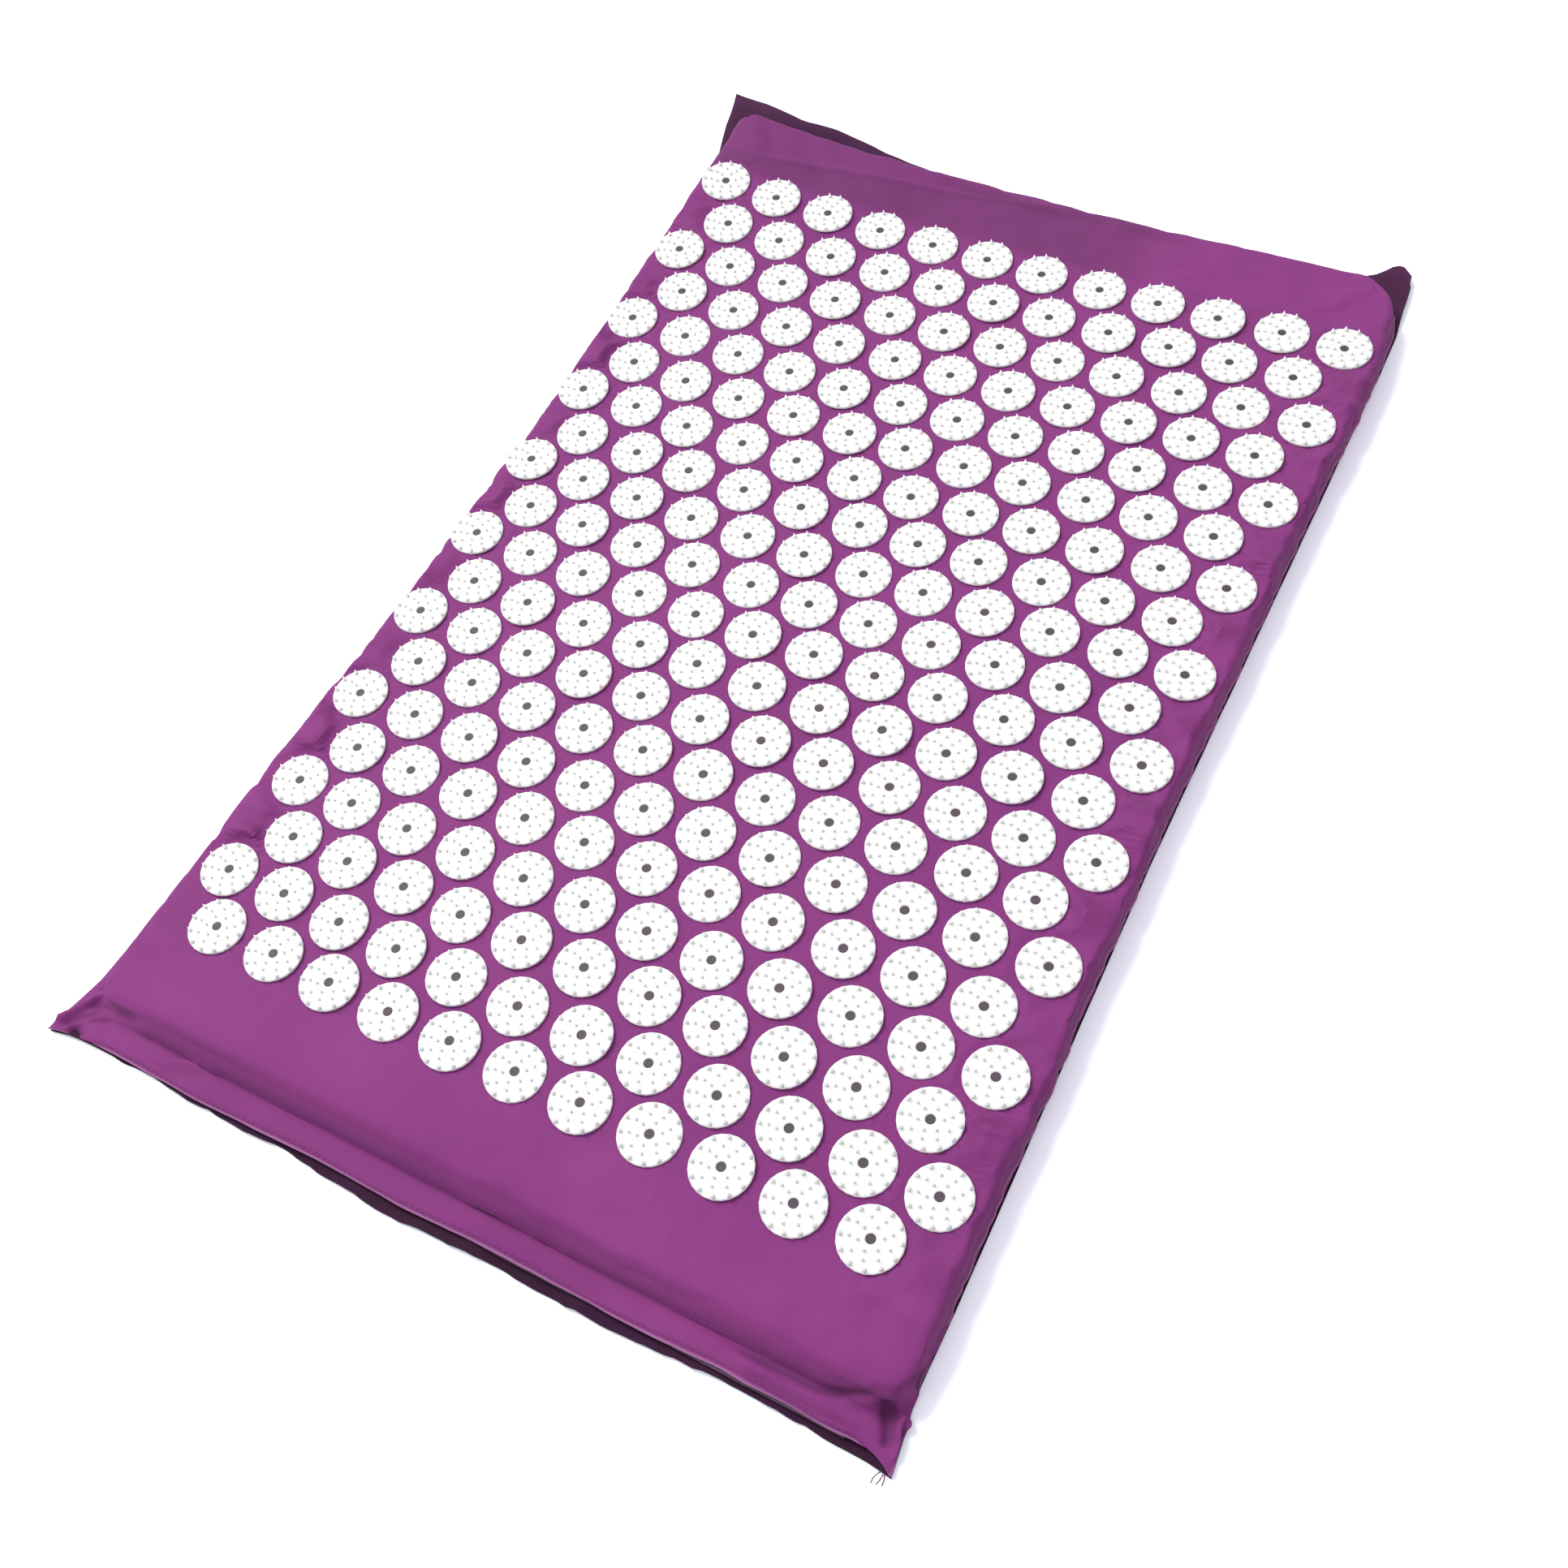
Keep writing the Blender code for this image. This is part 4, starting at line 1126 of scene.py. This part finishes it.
def disc_template():
    """Points, faces and material numbers of one disc: a lathed plate, the bead in its hole, and 27 spikes.

    The plate's profile runs from its foot up the rim, over a small bevel, in to the hole and down it. A
    spike is a cone of five sides, its points the five of its foot and then its tip.
    """
    profile = [
        (disc_radius, 0.0), (disc_radius, plate_thick - bevel), (disc_radius - 0.0004, plate_thick),
        (hole_radius + bevel, plate_thick), (hole_radius, plate_thick - bevel), (hole_radius, bead_level)]
    turns = np.arange(rim_sides) * 2 * math.pi / rim_sides
    circle = np.stack([np.cos(turns), np.sin(turns)], axis=1)
    points = [np.column_stack([circle * radius, np.full(rim_sides, z)]) for radius, z in profile]
    faces = [face[::-1] for face in tube_faces(len(profile), rim_sides)]
    slots = [0] * (len(faces) - 1) + [1]
    cone = [[k, (k + 1) % spike_sides, spike_sides] for k in range(spike_sides)]
    cone.append(list(range(spike_sides))[::-1])
    spikes = 0
    for ring_radius, number, start, high, foot in spike_rings:
        spikes += number
        for angle in start + np.arange(number) * 2 * math.pi / number:
            x, y = ring_radius * np.cos(angle), ring_radius * np.sin(angle)
            round_foot = np.arange(spike_sides) * 2 * math.pi / spike_sides + x * 900
            foot_points = [x + foot * np.cos(round_foot), y + foot * np.sin(round_foot)]
            points.append(np.column_stack([*foot_points, np.full(spike_sides, plate_thick - 0.0001)]))
            points.append(np.array([[x, y, plate_thick + high]]))
    plate_points = len(profile) * rim_sides
    cones = copied(cone, spike_sides + 1, spikes)
    faces += [[point + plate_points for point in face] for face in cones]
    return np.concatenate(points), faces, slots + [0] * len(cones), plate_points


disc_points, disc_faces, disc_slots, plate_points = disc_template()
disc_x, disc_y, disc_z = disc_points.T
# Painted light: 1 on the spikes' points, which are painted whiter.
spike_painted_light = np.where(np.arange(len(disc_points)) < plate_points, 0.0, 1.0)


def round_spikes(mesh):
    """Shade the spikes as round cones: the last of each spike's points is its tip, with smooth edges."""
    ends = np.empty(2 * len(mesh.edges), np.int32)
    mesh.edges.foreach_get("vertices", ends)
    place = ends % len(disc_points) - plate_points
    at_tip = ((place >= 0) & (place % (spike_sides + 1) == spike_sides)).reshape(-1, 2).any(axis=1)
    crisp = np.empty(len(mesh.edges), bool)
    mesh.attributes["sharp_edge"].data.foreach_get("value", crisp)
    mesh.attributes["sharp_edge"].data.foreach_set("value", crisp & ~at_tip)


disc_materials = [disc_finish(), bond_finish()]
hand = np.random.default_rng(20)
for number, (centre_x, centre_y) in enumerate(disc_rows, 1):
    in_row = len(centre_x)
    turn = hand.normal(0.27, 0.07, in_row)[:, None]
    slope_y = curl(centre_x, centre_y + slope_step) - curl(centre_x, centre_y - slope_step)
    slope_x = curl(centre_x + slope_step, centre_y) - curl(centre_x - slope_step, centre_y)
    lean_x = (hand.normal(0, lean, in_row) + slope_y / (2 * slope_step))[:, None]
    lean_y = (hand.normal(0, lean, in_row) - slope_x / (2 * slope_step))[:, None]
    local_x = np.cos(turn) * disc_x - np.sin(turn) * disc_y
    local_y = np.sin(turn) * disc_x + np.cos(turn) * disc_y
    local_z = disc_z + lean_x * local_y - lean_y * local_x
    level = disc_low + curl(centre_x, centre_y) + hand.uniform(0.0, 0.0002, in_row)
    row_points = np.stack([
        centre_x[:, None] + local_x + lean_y * disc_z, centre_y[:, None] + local_y - lean_x * disc_z,
        level[:, None] + local_z], axis=-1)
    row = add_piece(
        f"spiked_discs_{number:02d}", row_points, copied(disc_faces, len(disc_points), in_row),
        disc_materials, {"thin": np.tile(spike_painted_light, in_row)})
    row.data.polygons.foreach_set("material_index", np.tile(disc_slots, in_row))
    row.data.set_sharp_from_angle(angle=math.radians(35))
    round_spikes(row.data)
    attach(row, "mat")
    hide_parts(f"disc_row_{number:02d}")

# ---- Loose thread ends ----
# Three cut ends of twisted thread, grey, pink and purple. They stick out a few millimetres from the end of
# the seam at the near right corner. Their places are in millimetres.


def wire(points, radius, sides=6):
    """A round thread through points: a ring of points round each, turned to the run of the line."""
    _, side, up = across_and_up(np.gradient(points, axis=0))
    turns = np.arange(sides)[:, None] * 2 * math.pi / sides
    ring_points = points[:, None] + radius * (np.cos(turns) * side[:, None] + np.sin(turns) * up[:, None])
    return ring_points.reshape(-1, 3), tube_faces(len(points), sides)


def bowed(start, stop, bow, count=14):
    """A line between two points that bows sideways by a half sine."""
    share = np.linspace(0, 1, count)[:, None]
    return mix(np.array(start), np.array(stop), share) + np.array(bow) * np.sin(math.pi * share)


grey_thread = thread_finish("grey_thread", (0.20, 0.18, 0.20), (0.09, 0.08, 0.09))
pink_thread = thread_finish("pink_thread", (0.42, 0.16, 0.30), (0.24, 0.08, 0.17))
for name, finish, start, stop, bow in (
        ("loose_end_grey", grey_thread, (204.6, -326.8, 1.6), (202.6, -332.2, 0.6), (-0.5, 0.0, 0.8)),
        ("loose_end_pink", pink_thread, (205.6, -327.5, 1.8), (204.6, -331.8, 0.6), (0.4, 0.0, 0.8)),
        ("loose_end_purple", purple_thread, (206.2, -327.5, 1.8), (206.8, -331.2, 0.6), (0.4, 0.0, 0.6))):
    loose = add_piece(name, *wire(bowed(start, stop, bow) * 0.001, 0.00026), [finish])
    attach(loose, "mat")

# ---- Floor, light and camera ----
# A plain white floor and a large soft lamp at the far left, as in a small photo studio. A weak lamp at the
# near right fills the shadows. The camera looks down on the mat from beyond its near right corner.


def floor_finish():
    """Matt white floor that reads as plain white to the camera and lights the mat as a pale one would."""
    floor = Finish("studio_floor", roughness=0.9)
    path = floor.node("ShaderNodeLightPath", {}, {})
    seen = Value(floor, path.outputs["Is Camera Ray"])
    grain = floor.noise(3.0)
    pale = floor.blended(grain, (0.50, 0.50, 0.52), (0.52, 0.52, 0.53))
    white = floor.blended(grain, (1.50, 1.55, 1.72), (1.52, 1.56, 1.72))
    floor.colour(floor.blended(seen, pale, white))
    return floor.material


floor_mesh = bpy.data.meshes.new("floor")
floor_mesh.from_pydata([(-3, -3, 0), (3, -3, 0), (3, 3, 0), (-3, 3, 0)], [], [(0, 1, 2, 3)])
floor_mesh.materials.append(floor_finish())
floor = bpy.data.objects.new("floor", floor_mesh)
bpy.context.scene.collection.objects.link(floor)

sky_strength = 0.58
world = bpy.data.worlds.new("studio")
bpy.context.scene.world = world
world.use_nodes = True
sky = world.node_tree
sky_path = sky.nodes.new("ShaderNodeLightPath")
sky_level = sky.nodes.new("ShaderNodeMix")
sky_level.inputs["A"].default_value = sky_strength
sky_level.inputs["B"].default_value = 1.0
sky.links.new(sky_path.outputs["Is Camera Ray"], sky_level.inputs["Factor"])
sky.nodes["Background"].inputs["Color"].default_value = (1.0, 1.0, 1.0, 1.0)
sky.links.new(sky_level.outputs["Result"], sky.nodes["Background"].inputs["Strength"])

for name, place, size, power, tint in (
        ("soft_key", (-3.00, 0.90, 3.90), 2.2, 196.0, (1.0, 0.995, 0.985)),
        ("front_fill", (0.9, -1.5, 1.5), 1.6, 4.0, (0.97, 0.98, 1.0))):
    lamp_data = bpy.data.lights.new(name, "AREA")
    lamp_data.size = size
    lamp_data.energy = power
    lamp_data.color = tint
    lamp = bpy.data.objects.new(name, lamp_data)
    bpy.context.scene.collection.objects.link(lamp)
    lamp.rotation_mode = "QUATERNION"
    lamp.location = place
    lamp.rotation_quaternion = Vector(place).to_track_quat("Z", "Y")

right = (0.874515, 0.464164, -0.140621)
down = (0.333111, -0.785577, -0.521445)
forward = (-0.352505, 0.409169, -0.841618)
stand = (0.32009, -0.41347, 0.68104)
camera_data = bpy.data.cameras.new("camera")
camera_data.lens = 39.392
camera_data.sensor_width = 36.0
camera_data.clip_start = 0.01
camera = bpy.data.objects.new("camera", camera_data)
bpy.context.scene.collection.objects.link(camera)
turned = [(right[axis], -down[axis], -forward[axis], stand[axis]) for axis in range(3)]
camera.matrix_world = Matrix((*turned, (0.0, 0.0, 0.0, 1.0)))
bpy.context.scene.camera = camera
bpy.context.scene.view_settings.view_transform = "Standard"
